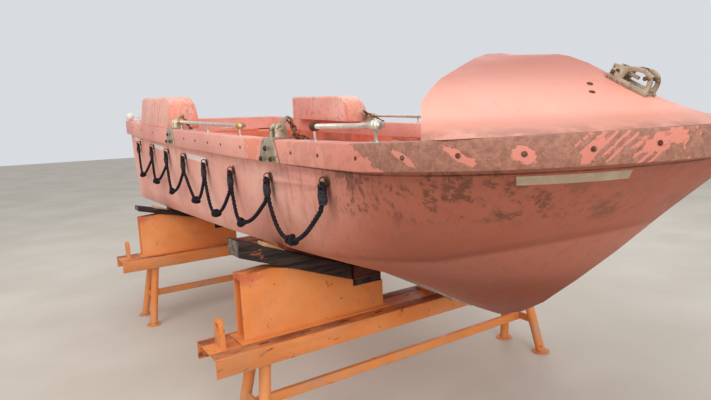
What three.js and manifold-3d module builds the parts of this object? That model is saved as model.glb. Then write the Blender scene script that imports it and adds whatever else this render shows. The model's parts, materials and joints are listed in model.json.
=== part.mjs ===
// Open rescue boat with a bow hood, standing on its two steel trestles.
// Millimetres, +X to the bow, +Y to port, +Z up. Heights are above the floor under the trestle feet.
// Lengthways places are first given from the forward trestle and moved by MIDDLE to the part's middle.
import * as THREE from "three";
import { mergeVertices } from "three/addons/utils/BufferGeometryUtils.js";
import Module from "manifold-3d";

const wasm = await Module();
wasm.setup();

// Driving dimensions of the boat
const MIDDLE = 935;
const TRANSOM_X = -3700;
const BOW_X = 1830;
const SIDES_CURVE_FROM = 300;
const AFT_STEPS = 16;
const BOW_STEPS = 18;
const SEAT_GAP = 0.3;
const BAND_OVERHANG = 45;
const BAND_WIDTH = 110;
const BAND_HEIGHT_AFT = 140;
const BAND_HEIGHT_BOW = 95;
const SHEER_LOW_X = 950;
const SHEER_LOW_Z = 1612;
const SHEER_RISE_AFT = 228;
const SHEER_RISE_BOW = 24;
const SHEER_CURVE = 1.42;
const TRANSOM_WALL = 65;
const FLOOR_Z_FORWARD = 1150;
const FLOOR_SLOPE = -0.03;
const FLOOR_FORWARD_X = 1000;
const HOOD_WALL = 26;
const KEEL_STRIP = { from: -3600, to: 585, halfWidth: 30, depth: 45, bury: 12, level: 465 };

// Driving dimensions of a trestle
const TRESTLES = [
  { name: "forward", x: 0, timber: 87 },
  { name: "aft", x: -2451, timber: 42 },
];
const SIDES = [
  { name: "port", sign: 1 },
  { name: "starboard", sign: -1 },
];
const BEAM = { halfWidth: 152, halfLength: 1276, top: 598, height: 96, plate: 8 };
const LUG = { y: 1200, thick: 25, halfWidth: 46, rise: 150, hole: 24 };
const LEG = { radius: 31, topX: 80, topY: 1000, topZ: 500, footX: 171, footY: 1077 };
const FOOT = { radius: 60, thick: 8 };
const TIE = { z: 240, height: 55, width: 30 };
const BRACE = { thick: 12, height: 50 };
const PEDESTAL = { front: 30, back: -75, outer: 1083, inner: 203, stepY: 410, stepZ: 760 };
// Crown of a pedestal outboard of its timber, y and z
const PEDESTAL_CROWN = [
  [1083, 950],
  [914, 962],
];
const PEDESTAL_END = { wall: 10, deep: 70, under: 30 };
const BASE_PLATE = { thick: 10, spread: 35, past: 30 };
const BOLSTER = { from: 430, to: 1090, bearsTo: 800, front: 52, back: -98 };
const PACKING = { thick: 25, from: 450, to: 820, front: 22, back: -67 };
const INNER_PAD = { inFrom: 6, outFrom: 12, slope: 0.18, ends: 4 };

// Half breadth of the gunwale band and of the chine, x and y
const BAND_BREADTH = [
  [-3700, 890],
  [-3000, 915],
  [-2200, 935],
  [-1200, 948],
  [0, 950],
  [900, 942],
];
const CHINE_BREADTH = [
  [-3700, 800],
  [-2450, 822],
  [-1400, 830],
  [300, 830],
];
// Heights along the chine and along the keel, x and z
const CHINE_HEIGHT = [
  [-3700, 1000],
  [-2451, 1015],
  [-1400, 1033],
  [-600, 1045],
  [260, 1075],
  [675, 1108],
  [1000, 1142],
  [1210, 1190],
  [1450, 1260],
];
const KEEL_HEIGHT = [
  [-3700, 860],
  [-2451, 820],
  [0, 765],
  [465, 750],
  [603, 697],
  [760, 702],
  [900, 757],
  [1020, 834],
];
// The stem on the centreline, z and x
const STEM = [
  [834, 1020],
  [1032, 1243],
  [1183, 1380],
  [1260, 1450],
  [1322, 1508],
  [1545, 1720],
];
// How the bottom bows out between keel and chine, how the topside swells, and the plan curves of
// the bow at the chine and at the sheer
const BOTTOM_POWER = 1.08;
const TOPSIDE_SWELL = 10;
const CHINE_PLAN = { from: SIDES_CURVE_FROM, power: 2 };
const SHEER_PLAN = { from: 900, power: 2.4 };
// Levels of the hull skin from keel to sheer: share of the bottom, share of the topside
const HULL_LEVELS = [
  [0, 0],
  [0.33, 0],
  [0.67, 0],
  [1, 0],
  [1, 0.2],
  [1, 0.4],
  [1, 0.6],
  [1, 0.8],
  [1, 1],
];

// Value of a two-column table at x, straight between its rows
function tableAt(table, x) {
  if (x <= table[0][0]) return table[0][1];
  for (let i = 1; i < table.length; i += 1) {
    const [x0, v0] = table[i - 1];
    const [x1, v1] = table[i];
    if (x <= x1) return v0 + ((v1 - v0) * (x - x0)) / (x1 - x0);
  }
  return table[table.length - 1][1];
}

function mix(a, b, share) {
  return a + (b - a) * share;
}

// Stations: evenly spaced to the start of the bow curve, then closer and closer to the tip
function stationX(index, tip) {
  if (index <= AFT_STEPS) {
    return mix(TRANSOM_X, SIDES_CURVE_FROM, index / AFT_STEPS);
  }
  const share = (index - AFT_STEPS) / BOW_STEPS;
  return mix(SIDES_CURVE_FROM, tip, 1 - (1 - share) ** 3);
}

// How full the plan still is at x, from 1 on the parallel side to 0 at the tip
function bowFullness(x, from, tip, power) {
  if (x <= from) return 1;
  const share = Math.min(1, (x - from) / (tip - from));
  return (1 - share ** power) ** (1 / power);
}

function sheerTop(x) {
  if (x >= SHEER_LOW_X) {
    return SHEER_LOW_Z + (SHEER_RISE_BOW * (x - SHEER_LOW_X)) / (BOW_X - SHEER_LOW_X);
  }
  const share = (SHEER_LOW_X - x) / (SHEER_LOW_X - TRANSOM_X);
  return SHEER_LOW_Z + SHEER_RISE_AFT * share ** SHEER_CURVE;
}

function bandHeight(x) {
  return mix(BAND_HEIGHT_AFT, BAND_HEIGHT_BOW, (x - TRANSOM_X) / (BOW_X - TRANSOM_X));
}

// Top of the band as built, straight between stations
function bandTopAt(x) {
  const pitch = (SIDES_CURVE_FROM - TRANSOM_X) / AFT_STEPS;
  if (x >= SIDES_CURVE_FROM) return sheerTop(x);
  const low = TRANSOM_X + Math.floor((x - TRANSOM_X) / pitch) * pitch;
  return mix(sheerTop(low), sheerTop(low + pitch), (x - low) / pitch);
}

function floorAt(x) {
  return FLOOR_Z_FORWARD + FLOOR_SLOPE * (x - FLOOR_FORWARD_X);
}

// Closed solids from three.js geometry

function solidOf(geometry) {
  const bare = new THREE.BufferGeometry();
  bare.setAttribute("position", geometry.getAttribute("position"));
  if (geometry.index) bare.setIndex(geometry.index);
  const merged = mergeVertices(bare, 1e-3);
  const corners = merged.index.array;
  const kept = [];
  for (let i = 0; i < corners.length; i += 3) {
    const [a, b, c] = [corners[i], corners[i + 1], corners[i + 2]];
    if (a !== b && b !== c && c !== a) kept.push(a, b, c);
  }
  const points = merged.getAttribute("position").array;
  const made = manifoldOf(points, kept);
  if (made.volume() > 0) return made;
  const turned = [];
  for (let i = 0; i < kept.length; i += 3) turned.push(kept[i], kept[i + 2], kept[i + 1]);
  return manifoldOf(points, turned);
}

function manifoldOf(points, corners) {
  const mesh = new wasm.Mesh({
    numProp: 3,
    vertProperties: points,
    triVerts: new Uint32Array(corners),
  });
  return new wasm.Manifold(mesh);
}

function geometryOf(solid) {
  const mesh = solid.getMesh();
  const geometry = new THREE.BufferGeometry();
  const points = new Float32Array(mesh.vertProperties);
  geometry.setAttribute("position", new THREE.BufferAttribute(points, mesh.numProp));
  geometry.setIndex(new THREE.BufferAttribute(new Uint32Array(mesh.triVerts), 1));
  geometry.computeVertexNormals();
  return geometry;
}

function joined(...solids) {
  return solids.reduce((sum, next) => sum.add(next));
}

function cut(solid, ...tools) {
  return tools.reduce((rest, tool) => rest.subtract(tool), solid);
}

function block(x0, x1, y0, y1, z0, z1) {
  const geometry = new THREE.BoxGeometry(x1 - x0, y1 - y0, z1 - z0);
  geometry.translate((x0 + x1) / 2, (y0 + y1) / 2, (z0 + z1) / 2);
  return solidOf(geometry);
}

// A round bar between two points
function bar(start, end, radius, sides = 20) {
  const a = new THREE.Vector3(...start);
  const b = new THREE.Vector3(...end);
  const length = a.distanceTo(b);
  const geometry = new THREE.CylinderGeometry(radius, radius, length, sides);
  const along = b.clone().sub(a).normalize();
  const turn = new THREE.Quaternion().setFromUnitVectors(new THREE.Vector3(0, 1, 0), along);
  geometry.applyQuaternion(turn);
  geometry.translate(...a.add(b).multiplyScalar(0.5).toArray());
  return solidOf(geometry);
}

// An outline of [y, z] corners pushed along X
function crosswise(corners, x0, x1) {
  const shape = new THREE.Shape(corners.map(([y, z]) => new THREE.Vector2(y, z)));
  const geometry = new THREE.ExtrudeGeometry(shape, { depth: x1 - x0, bevelEnabled: false });
  const basis = new THREE.Matrix4().makeBasis(
    new THREE.Vector3(0, 1, 0),
    new THREE.Vector3(0, 0, 1),
    new THREE.Vector3(1, 0, 0),
  );
  geometry.applyMatrix4(basis);
  geometry.translate(x0, 0, 0);
  return solidOf(geometry);
}

// An outline of [x, z] corners, or a Shape, pushed along Y
function lengthwise(outline, y0, y1) {
  const shape = Array.isArray(outline)
    ? new THREE.Shape(outline.map(([x, z]) => new THREE.Vector2(x, z)))
    : outline;
  const options = { depth: y1 - y0, bevelEnabled: false, curveSegments: 8 };
  const geometry = new THREE.ExtrudeGeometry(shape, options);
  const basis = new THREE.Matrix4().makeBasis(
    new THREE.Vector3(1, 0, 0),
    new THREE.Vector3(0, 0, 1),
    new THREE.Vector3(0, -1, 0),
  );
  geometry.applyMatrix4(basis);
  geometry.translate(0, y1, 0);
  return solidOf(geometry);
}

// A smooth curve whose even steps fall on its own points
class Route extends THREE.CatmullRomCurve3 {
  getPointAt(share, target) {
    return this.getPoint(share, target);
  }

  getTangentAt(share, target) {
    return this.getTangent(share, target);
  }
}

// A round tube along a smooth curve through the points, with so many steps from point to point
function tube(points, radius, each, sides = 8) {
  const path = new Route(points.map((p) => new THREE.Vector3(...p)), false, "centripetal");
  const steps = each * (points.length - 1);
  const ring = [];
  for (let i = 0; i < sides; i += 1) {
    const angle = (2 * Math.PI * i) / sides;
    ring.push(new THREE.Vector2(radius * Math.cos(angle), radius * Math.sin(angle)));
  }
  const options = { steps, bevelEnabled: false, extrudePath: path };
  return solidOf(new THREE.ExtrudeGeometry(new THREE.Shape(ring), options));
}

// A skin over rows of corners, each row one closed loop, with a fan over the first and the last
function skinOver(rows) {
  const size = rows[0].length;
  const points = rows.flat(2);
  const corners = [];
  for (let i = 0; i + 1 < rows.length; i += 1) {
    for (let j = 0; j < size; j += 1) {
      const a = i * size + j;
      const b = i * size + ((j + 1) % size);
      corners.push(a, b, b + size, a, b + size, a + size);
    }
  }
  for (const [row, flip] of [[0, true], [rows.length - 1, false]]) {
    const middle = points.length / 3;
    const sums = [0, 1, 2].map((k) => rows[row].reduce((sum, p) => sum + p[k], 0) / size);
    points.push(...sums);
    for (let j = 0; j < size; j += 1) {
      const a = row * size + j;
      const b = row * size + ((j + 1) % size);
      corners.push(...(flip ? [b, a, middle] : [a, b, middle]));
    }
  }
  const geometry = new THREE.BufferGeometry();
  geometry.setAttribute("position", new THREE.Float32BufferAttribute(points, 3));
  geometry.setIndex(corners);
  return solidOf(geometry);
}

// The same half section on both sides: levels run from the bottom middle up the starboard side
function mirroredRows(levels, count) {
  const rows = [];
  for (let i = 0; i <= count; i += 1) {
    const half = levels.map((level) => level(i));
    const port = half.map(([x, y, z]) => [x, -y, z]).reverse();
    rows.push([...half, ...port]);
  }
  return rows;
}

// The hull

// Swell of the topside at a share of its height
function swellAt(share) {
  return 4 * share * (1 - share) * TOPSIDE_SWELL;
}

function hullLevel([bottom, side]) {
  const rise = bottom ** BOTTOM_POWER;
  const chineTip = STEM[3];
  const keelTip = STEM[0];
  const sheerTip = STEM[STEM.length - 1];
  const tipZ = side > 0 ? mix(chineTip[0], sheerTip[0], side) : mix(keelTip[0], chineTip[0], rise);
  const tip = tableAt(STEM, tipZ);
  return (index) => {
    const x = stationX(index, tip);
    const chineX = stationX(index, chineTip[1]);
    const keelX = stationX(index, keelTip[1]);
    const sheerX = stationX(index, sheerTip[1]);
    const chineZ = tableAt(CHINE_HEIGHT, chineX);
    const hullTop = sheerTop(sheerX) - bandHeight(sheerX) - SEAT_GAP;
    const z = side > 0
      ? mix(chineZ, hullTop, side)
      : mix(tableAt(KEEL_HEIGHT, keelX), chineZ, rise);
    const full = mix(
      tableAt(CHINE_BREADTH, x) * bottom,
      tableAt(BAND_BREADTH, x) - BAND_OVERHANG,
      side,
    );
    const from = mix(CHINE_PLAN.from, SHEER_PLAN.from, side);
    const power = mix(CHINE_PLAN.power, SHEER_PLAN.power, side);
    const y = (full + swellAt(side)) * bowFullness(x, from, tip, power);
    return [x, -y, z];
  };
}

const LAST_STATION = AFT_STEPS + BOW_STEPS;

function hullBody(drop = 0) {
  const rows = mirroredRows(HULL_LEVELS.map(hullLevel), LAST_STATION);
  return skinOver(rows.map((row) => row.map(([x, y, z]) => [x, y, z - drop])));
}

// The space inside the hull, from the floor to above the sheer, drawn in by inset
const WELL_TOP = 2100;
const WELL_LEVELS = [
  { half: 805, from: 350, tip: 1190, power: 2.1, z: floorAt },
  { half: 855, from: 850, tip: 1650, power: 2.4, z: () => WELL_TOP },
];

function well(inset) {
  const lines = WELL_LEVELS.map((level) => (index) => {
    const aftX = Math.max(stationX(index, level.tip - inset), TRANSOM_X + TRANSOM_WALL + inset);
    const narrow = tableAt(BAND_BREADTH, aftX) - BAND_BREADTH[4][1];
    const full = level.half + narrow - inset;
    const y = full * bowFullness(aftX, level.from, level.tip - inset, level.power);
    return [aftX, -y, level.z(aftX) + inset];
  });
  return skinOver(mirroredRows(lines, LAST_STATION));
}

function bandLine(inset, height) {
  return (index) => {
    const tip = BOW_X - inset;
    const x = Math.max(stationX(index, tip), TRANSOM_X + inset);
    const full = bowFullness(x, SHEER_PLAN.from, tip, SHEER_PLAN.power);
    const y = (tableAt(BAND_BREADTH, x) - inset) * full;
    return [x, -y, height(x)];
  };
}

// The band before its middle is cut out, moved down by drop
function bandBody(drop) {
  return skinOver(mirroredRows(
    [bandLine(0, (x) => sheerTop(x) - bandHeight(x) - drop), bandLine(0, (x) => sheerTop(x) - drop)],
    LAST_STATION,
  ));
}

function gunwaleBand() {
  const inner = skinOver(mirroredRows(
    [bandLine(BAND_WIDTH, () => FLOOR_Z_FORWARD), bandLine(BAND_WIDTH, () => WELL_TOP)],
    LAST_STATION,
  ));
  return cut(bandBody(0), inner);
}

function keelStrip() {
  const rows = [];
  const { from, to, level } = KEEL_STRIP;
  for (const x of [from, ...TRESTLES.map((trestle) => trestle.x).reverse(), level, to]) {
    const top = tableAt(KEEL_HEIGHT, Math.min(x, level));
    const half = KEEL_STRIP.halfWidth;
    const low = top - KEEL_STRIP.depth;
    const high = top + KEEL_STRIP.bury;
    rows.push([[x, -half, high], [x, half, high], [x, half, low], [x, -half, low]]);
  }
  return cut(skinOver(rows), hullBody(SEAT_GAP));
}

// Half sections of the hood: each level runs from the rim of the open aft edge over a crease
// and then forward to the centreline, x, y and z of each, with the power of its plan curve
const HOOD_LEVELS = [
  { rim: [1242, 892, 1620], crease: [1272, 889, 1620], tip: [1700, 1634], power: 2 },
  { rim: [1165, 825, 1686], crease: [1221, 837, 1672], tip: [1622, 1664], power: 1.25 },
  { rim: [1083, 754, 1750], crease: [1172, 775, 1707], tip: [1548, 1700], power: 1.18 },
  { rim: [1024, 660, 1796], crease: [1132, 712, 1740], tip: [1490, 1732], power: 1.16 },
  { rim: [964, 556, 1842], crease: [1084, 635, 1778], tip: [1418, 1772], power: 1.15 },
  { rim: [888, 374, 1902], crease: [1008, 500, 1838], tip: [1318, 1832], power: 1.15 },
  { rim: [822, 215, 1952], crease: [925, 320, 1905], tip: [1225, 1888], power: 1.2 },
  { rim: [790, 105, 1976], crease: [845, 130, 1958], tip: [1140, 1925], power: 1.4 },
  { rim: [782, 0, 1984], crease: [828, 0, 1970], tip: [1085, 1940], power: 1.4 },
];
const HOOD_STEPS = 13;

// The foot follows the top of the band at level zero, the rest is drawn in by the wall, and all
// of it is moved up by lift
function hoodBody(wall, lift = 0) {
  const lines = HOOD_LEVELS.map(({ rim, crease, tip, power }, order) => (index) => {
    const tuck = rim[1] > 0 ? wall : 0;
    const down = order === 0 ? wall * 4 : wall;
    const onFoot = (x, z) => (order === 0 ? sheerTop(x) + SEAT_GAP : z) - down;
    if (index === 0) {
      const x = rim[0] - wall * 2;
      return [x, tuck - rim[1], onFoot(x, rim[2])];
    }
    const share = (index - 1) / (HOOD_STEPS - 1);
    const run = 1 - (1 - share) ** 2;
    const from = crease[0] + wall * 0.4;
    const to = tip[0] - wall * 1.6;
    const x = mix(from, to, run);
    const y = (crease[1] - tuck) * bowFullness(x, from, to, power);
    return [x, -y, onFoot(x, mix(crease[2], tip[1], run))];
  });
  const rows = mirroredRows(lines, HOOD_STEPS);
  return skinOver(rows.map((row) => row.map(([x, y, z]) => [x, y, z + lift])));
}

function bowHood() {
  return cut(hoodBody(0), hoodBody(HOOD_WALL));
}

// Raised side boxes on the quarters: the top slopes forward and rounds down into the fore end
const QUARTER_BOX = { aft: -2850, fore: -1690, inner: 705, topAft: 2022, topFore: 1958 };
const BOX_EDGE = { nose: 190, shoulder: 16, inset: 10, lean: 0.15 };
const BOX_STATIONS = [0, 0.13, 0.35, 0.58, 0.8];
const NOSE_STEPS = 6;

function quarterBox(sign) {
  const { aft, fore, inner, topAft, topFore } = QUARTER_BOX;
  const { nose, shoulder, inset, lean } = BOX_EDGE;
  const rounded = [];
  for (let i = 0; i <= NOSE_STEPS; i += 1) {
    const angle = (Math.PI / 2) * (i / NOSE_STEPS);
    rounded.push([fore - nose * (1 - Math.sin(angle)), nose * (1 - Math.cos(angle))]);
  }
  const straight = BOX_STATIONS.map((share) => [mix(aft, fore - nose, share), 0]);
  const rows = [...straight, ...rounded].map(([x, drop]) => {
    const low = bandTopAt(x) + SEAT_GAP;
    const high = mix(topAft, topFore, (x - aft) / (fore - aft)) - drop;
    const outer = tableAt(BAND_BREADTH, x) - inset;
    const outerTop = outer - lean * (high - low);
    const corners = [
      [inner, low],
      [outer, low],
      [outerTop, high - shoulder],
      [outerTop - shoulder, high],
      [inner + shoulder, high],
      [inner, high - shoulder],
    ];
    return corners.map(([y, z]) => [x, sign * y, z]);
  });
  return skinOver(rows);
}

// Benches, thwarts and stern deck
const BENCH = { from: -2650, to: 820, inner: 430, outer: 1000, height: 300 };
const LOCKER = { from: -1230, to: -330, inner: 480, outer: 752, depth: 190 };
const LID = { thick: 22, margin: 25, hingeMargin: 19 };
const THWART_TOE = { height: 90, depth: 60, ends: 80 };
const THWARTS = [
  { name: "thwart_forward", from: 420, to: 760 },
  { name: "thwart_aft", from: -2080, to: -1740 },
];
const STERN_DECK = { from: -3640, to: -2880, height: 400 };
const STERN_LOCKER = { from: -3470, to: -3030, half: 330, depth: 250 };

function benchTop(x) {
  return floorAt(x) + BENCH.height;
}

// Side outline of a box that stands on the sloping floor
function onFloor(from, to, height, y0, y1) {
  const corners = [
    [from, FLOOR_Z_FORWARD],
    [to, FLOOR_Z_FORWARD],
    [to, floorAt(to) + height],
    [from, floorAt(from) + height],
  ];
  return lengthwise(corners, y0, y1);
}

function sideBench(sign, room) {
  const [y0, y1] = sign > 0 ? [BENCH.inner, BENCH.outer] : [-BENCH.outer, -BENCH.inner];
  const body = onFloor(BENCH.from, BENCH.to, BENCH.height, y0, y1).intersect(room);
  const [l0, l1] = sign > 0 ? [LOCKER.inner, LOCKER.outer] : [-LOCKER.outer, -LOCKER.inner];
  const low = benchTop(LOCKER.to) - LOCKER.depth;
  return cut(body, block(LOCKER.from, LOCKER.to, l0, l1, low, WELL_TOP));
}

function benchLid(sign) {
  const from = LOCKER.from - LID.margin;
  const to = LOCKER.to + LID.margin;
  const near = LOCKER.inner - LID.margin;
  const far = LOCKER.outer + LID.hingeMargin;
  const corners = [
    [from, benchTop(from) + SEAT_GAP],
    [to, benchTop(to) + SEAT_GAP],
    [to, benchTop(to) + LID.thick],
    [from, benchTop(from) + LID.thick],
  ];
  return lengthwise(corners, ...(sign > 0 ? [near, far] : [-far, -near]));
}

function thwart({ from, to }) {
  const half = BENCH.inner - SEAT_GAP;
  const body = onFloor(from, to, BENCH.height, -half, half);
  const { height, depth, ends } = THWART_TOE;
  const below = onFloor(from - depth, to + depth, SEAT_GAP, -half - ends, half + ends);
  const recess = onFloor(from - depth, from + depth, height, -half + ends, half - ends);
  return cut(body, below, recess);
}

function sternDeck(room) {
  const { from, to, height } = STERN_DECK;
  const body = onFloor(from, to, height, -BENCH.outer, BENCH.outer).intersect(room);
  const { half, depth } = STERN_LOCKER;
  const low = floorAt(STERN_LOCKER.to) + height - depth;
  return cut(body, block(STERN_LOCKER.from, STERN_LOCKER.to, -half, half, low, WELL_TOP));
}

function sternLid() {
  const from = STERN_LOCKER.from - LID.margin;
  const to = STERN_LOCKER.to + LID.margin;
  const top = (x) => floorAt(x) + STERN_DECK.height;
  const corners = [
    [from, top(from) + SEAT_GAP],
    [to, top(to) + SEAT_GAP],
    [to, top(to) + LID.thick],
    [from, top(from) + LID.thick],
  ];
  return lengthwise(corners, -STERN_LOCKER.half - LID.margin, STERN_LOCKER.half + LID.margin);
}

// Steel fittings on the gunwale: a tapered plate on the band, and two ears with a pin on its strap
const BRACKETS = [
  { name: "forward", x: 192 },
  { name: "aft", x: -1640 },
];
const BRACKET = { half: 108, topHalf: 60, plate: 10, below: 108, strapHalf: 38, reach: 105 };
const BRACKET_EAR = { apart: 24, thick: 10, near: 84, far: 22, rise: 68, pin: 8, pinHalf: 42 };

function liftingBracket(x, sign, bandSeat) {
  const top = bandTopAt(x);
  const { half, topHalf, plate, below, strapHalf, reach } = BRACKET;
  const broadest = Math.max(...[-half, 0, half].map((along) => tableAt(BAND_BREADTH, x + along)));
  const face = broadest + SEAT_GAP;
  const side = [
    [x - half, top - below],
    [x + half, top - below],
    [x + topHalf, top],
    [x + strapHalf, top + plate],
    [x - strapHalf, top + plate],
    [x - topHalf, top],
  ];
  const span = (y0, y1) => (sign > 0 ? [y0, y1] : [-y1, -y0]);
  const upright = lengthwise(side, ...span(face, face + plate));
  const [s0, s1] = span(face - reach, face + 1);
  const strap = block(x - strapHalf, x + strapHalf, s0, s1, top - 2, top + plate);
  const { apart, thick, near, far, rise, pin, pinHalf } = BRACKET_EAR;
  const [e0, e1] = span(face - near, face - far);
  const round = (e1 - e0) / 2;
  const crown = top + plate + rise - round;
  const outline = [[e0, top + 1], [e1, top + 1]];
  for (let degrees = 0; degrees <= 180; degrees += 30) {
    const angle = THREE.MathUtils.degToRad(degrees);
    outline.push([e0 + round + round * Math.cos(angle), crown + round * Math.sin(angle)]);
  }
  const ears = [-apart - thick, apart].map((from) => crosswise(outline, x + from, x + from + thick));
  const bolt = bar([x - pinHalf, e0 + round, crown], [x + pinHalf, e0 + round, crown], pin, 12);
  return cut(joined(upright, strap, ...ears, bolt), bandSeat);
}

// Straight grab rails: a tube clamped on a thin post near each end, with posts between
const RAILS = [
  { name: "aft", from: -1540, to: -334, posts: [-912], rise: 56 },
  { name: "forward", from: 532, to: 978, posts: [], rise: 62 },
];
const RAIL = { radius: 12, past: 24, inset: 62 };
const RAIL_POST = { radius: 7, foot: 20, footThick: 5 };
const RAIL_CLAMP = { radius: 18, half: 16 };

function grabRail({ from, to, posts, rise }, sign, bandSeat) {
  const at = (x, up) => [x, sign * (tableAt(BAND_BREADTH, x) - RAIL.inset), bandTopAt(x) + up];
  const stops = [from - RAIL.past, from];
  for (const share of [0.25, 0.5, 0.75, 1]) stops.push(mix(from, to, share));
  stops.push(to + RAIL.past);
  const rail = tube(stops.map((x) => at(x, rise)), RAIL.radius, 2, 12);
  const clamps = [from, to].map((x) => {
    const { radius, half } = RAIL_CLAMP;
    return bar(at(x - half, rise), at(x + half, rise), radius, 16);
  });
  const { radius, foot, footThick } = RAIL_POST;
  const uprights = [from, ...posts, to].map((x) =>
    joined(bar(at(x, 0), at(x, rise), radius, 10), bar(at(x, -2), at(x, footThick), foot, 16)));
  return cut(joined(rail, ...clamps, ...uprights), bandSeat);
}

// Painter release on the front slope of the hood: fixed base with open cheeks, and the hook lever.
// Its own frame runs along the slope and up from it
const RELEASE = { x: 1400, z: 1786, lean: 31, half: 36, back: -85, front: 95, pad: 8, root: 60 };
const CHEEK = { inside: 22, thick: 8 };
const LEVER = { along: -52, up: 34, drum: 13, play: 0.3, arm: 74, bar: 12 };

function releasePlace() {
  const place = new THREE.Matrix4().makeRotationY(THREE.MathUtils.degToRad(RELEASE.lean));
  place.setPosition(RELEASE.x, 0, RELEASE.z);
  return place;
}

function placed(geometry, matrix) {
  geometry.applyMatrix4(matrix);
  return solidOf(geometry);
}

function cheekOutline() {
  const outline = new THREE.Shape();
  outline.moveTo(-80, 4);
  outline.lineTo(92, 4);
  outline.lineTo(92, 32);
  outline.quadraticCurveTo(88, 78, 40, 80);
  outline.lineTo(0, 72);
  outline.lineTo(-40, 54);
  outline.lineTo(-80, 50);
  const eye = new THREE.Path();
  eye.moveTo(-22, 14);
  eye.lineTo(-14, 48);
  eye.lineTo(6, 57);
  eye.lineTo(38, 64);
  eye.quadraticCurveTo(72, 62, 74, 32);
  eye.lineTo(68, 14);
  outline.holes.push(eye);
  return outline;
}

function releaseBase(hoodSeat) {
  const place = releasePlace();
  const { front, back, half, pad, root } = RELEASE;
  const plate = new THREE.BoxGeometry(front - back, half * 2, pad + root);
  plate.translate((front + back) / 2, 0, (pad - root) / 2);
  const { inside, thick } = CHEEK;
  const cheeks = [-inside, inside + thick].map((y) => {
    const options = { depth: thick, bevelEnabled: false, curveSegments: 6 };
    const cheek = new THREE.ExtrudeGeometry(cheekOutline(), options);
    cheek.rotateX(Math.PI / 2);
    cheek.translate(0, y, 0);
    return placed(cheek, place);
  });
  const base = cut(placed(plate, place), hoodSeat);
  return joined(base, ...cheeks);
}

function releaseLever() {
  const place = releasePlace();
  const { along, up, drum, play, arm, bar: deep } = LEVER;
  const axle = new THREE.CylinderGeometry(drum, drum, 2 * (CHEEK.inside - play), 16);
  axle.translate(along, 0, up);
  const handle = new THREE.BoxGeometry(arm, deep, deep);
  handle.translate(along + arm / 2, 0, up + 2);
  return joined(placed(axle, place), placed(handle, place));
}

const LIGHT = { x: -3575, y: -862, radius: 42, lift: 4, collar: 20, collarRise: 16 };

function sternLight(bandSeat) {
  const { x, y, radius, lift, collar, collarRise } = LIGHT;
  const foot = bandTopAt(x) - 2;
  const ball = new THREE.SphereGeometry(radius, 18, 12);
  ball.rotateX(Math.PI / 2);
  ball.translate(x, y, foot + radius + lift);
  const stem = bar([x, y, foot], [x, y, foot + collarRise], collar, 16);
  return cut(joined(solidOf(ball), stem), bandSeat);
}

// Grab line: the rope of one side is tied at eight eyes and hangs between them in seven loops
const LINE = { radius: 12, sides: 6, stand: 26, turn: 16, drop: 21.2, tied: 110, steps: 5, tail: 150 };
const LINE_WRAP = { halfWide: 28, halfDeep: 17, from: 32, to: 94, ends: 0.8 };
const LINE_KNOT = { halfLong: 34, radius: 27 };
const LINE_EYE = { thick: 6, outer: 46, root: 12, half: 26, holeFrom: 12.5, holeTo: 39.5, holeHalf: 17.5 };
// Eyes, x and z
const LINE_EYES = [
  [-3170, 1596],
  [-2530, 1568],
  [-1965, 1535],
  [-1450, 1508],
  [-950, 1478],
  [-455, 1450],
  [70, 1440],
  [635, 1451],
];
// Low point of each loop, x and z, and how hollow the rope hangs aft of it and forward of it
const LINE_LOOPS = [
  [-3060, 1288, 3, 1.5],
  [-2430, 1262, 3, 1.6],
  [-1840, 1221, 2.6, 2],
  [-1195, 1207, 1.3, 2.2],
  [-765, 1163, 3.2, 1.8],
  [-315, 1163, 3.2, 1.8],
  [315, 1157, 3, 1.7],
];

// The topside at x and z, as a half breadth
function topsideAt(x, z) {
  const top = sheerTop(x) - bandHeight(x);
  const chine = tableAt(CHINE_HEIGHT, x);
  const share = (z - chine) / (top - chine);
  const straight = mix(tableAt(CHINE_BREADTH, x), tableAt(BAND_BREADTH, x) - BAND_OVERHANG, share);
  return straight + swellAt(share);
}

// The rope hangs straight down from the line of its eyes
function curtainAt(x) {
  const row = LINE_EYES.map(([eyeX, eyeZ]) => [eyeX, topsideAt(eyeX, eyeZ) + LINE.stand]);
  return tableAt(row, x);
}

// Over one eye, from the leg aft of it to the leg forward of it
function turnPoints([x, z]) {
  const { turn, drop } = LINE;
  const points = [];
  for (let degrees = 180; degrees >= 0; degrees -= 36) {
    const angle = THREE.MathUtils.degToRad(degrees);
    points.push([x + turn * Math.cos(angle), z - drop + turn * Math.sin(angle)]);
  }
  return points;
}

// One loop between two eyes: down beside the other leg, round, and up again
function loopPoints([lowX, lowZ, aftPower, forePower], order) {
  const { turn, drop, tied, steps } = LINE;
  const [aftX, aftZ] = LINE_EYES[order];
  const [foreX, foreZ] = LINE_EYES[order + 1];
  const points = [[aftX + turn, aftZ - mix(drop, tied, 0.5)]];
  for (let i = steps; i > 0; i -= 1) {
    const share = i / steps;
    points.push([mix(lowX, aftX + turn, share), mix(lowZ, aftZ - tied, share ** aftPower)]);
  }
  points.push([lowX, lowZ]);
  for (let i = 1; i <= steps; i += 1) {
    const share = i / steps;
    points.push([mix(lowX, foreX - turn, share), mix(lowZ, foreZ - tied, share ** forePower)]);
  }
  points.push([foreX - turn, foreZ - mix(drop, tied, 0.5)]);
  return points;
}

// The whole rope of one side, with a short tail at its first and its last eye
function ropePoints() {
  const { turn, tail } = LINE;
  const [firstX, firstZ] = LINE_EYES[0];
  const [lastX, lastZ] = LINE_EYES[LINE_EYES.length - 1];
  const points = [[firstX - turn, firstZ - tail], ...turnPoints(LINE_EYES[0])];
  LINE_LOOPS.forEach((loop, order) => {
    points.push(...loopPoints(loop, order), ...turnPoints(LINE_EYES[order + 1]));
  });
  points.push([lastX + turn, lastZ - tail]);
  return points;
}

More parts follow.
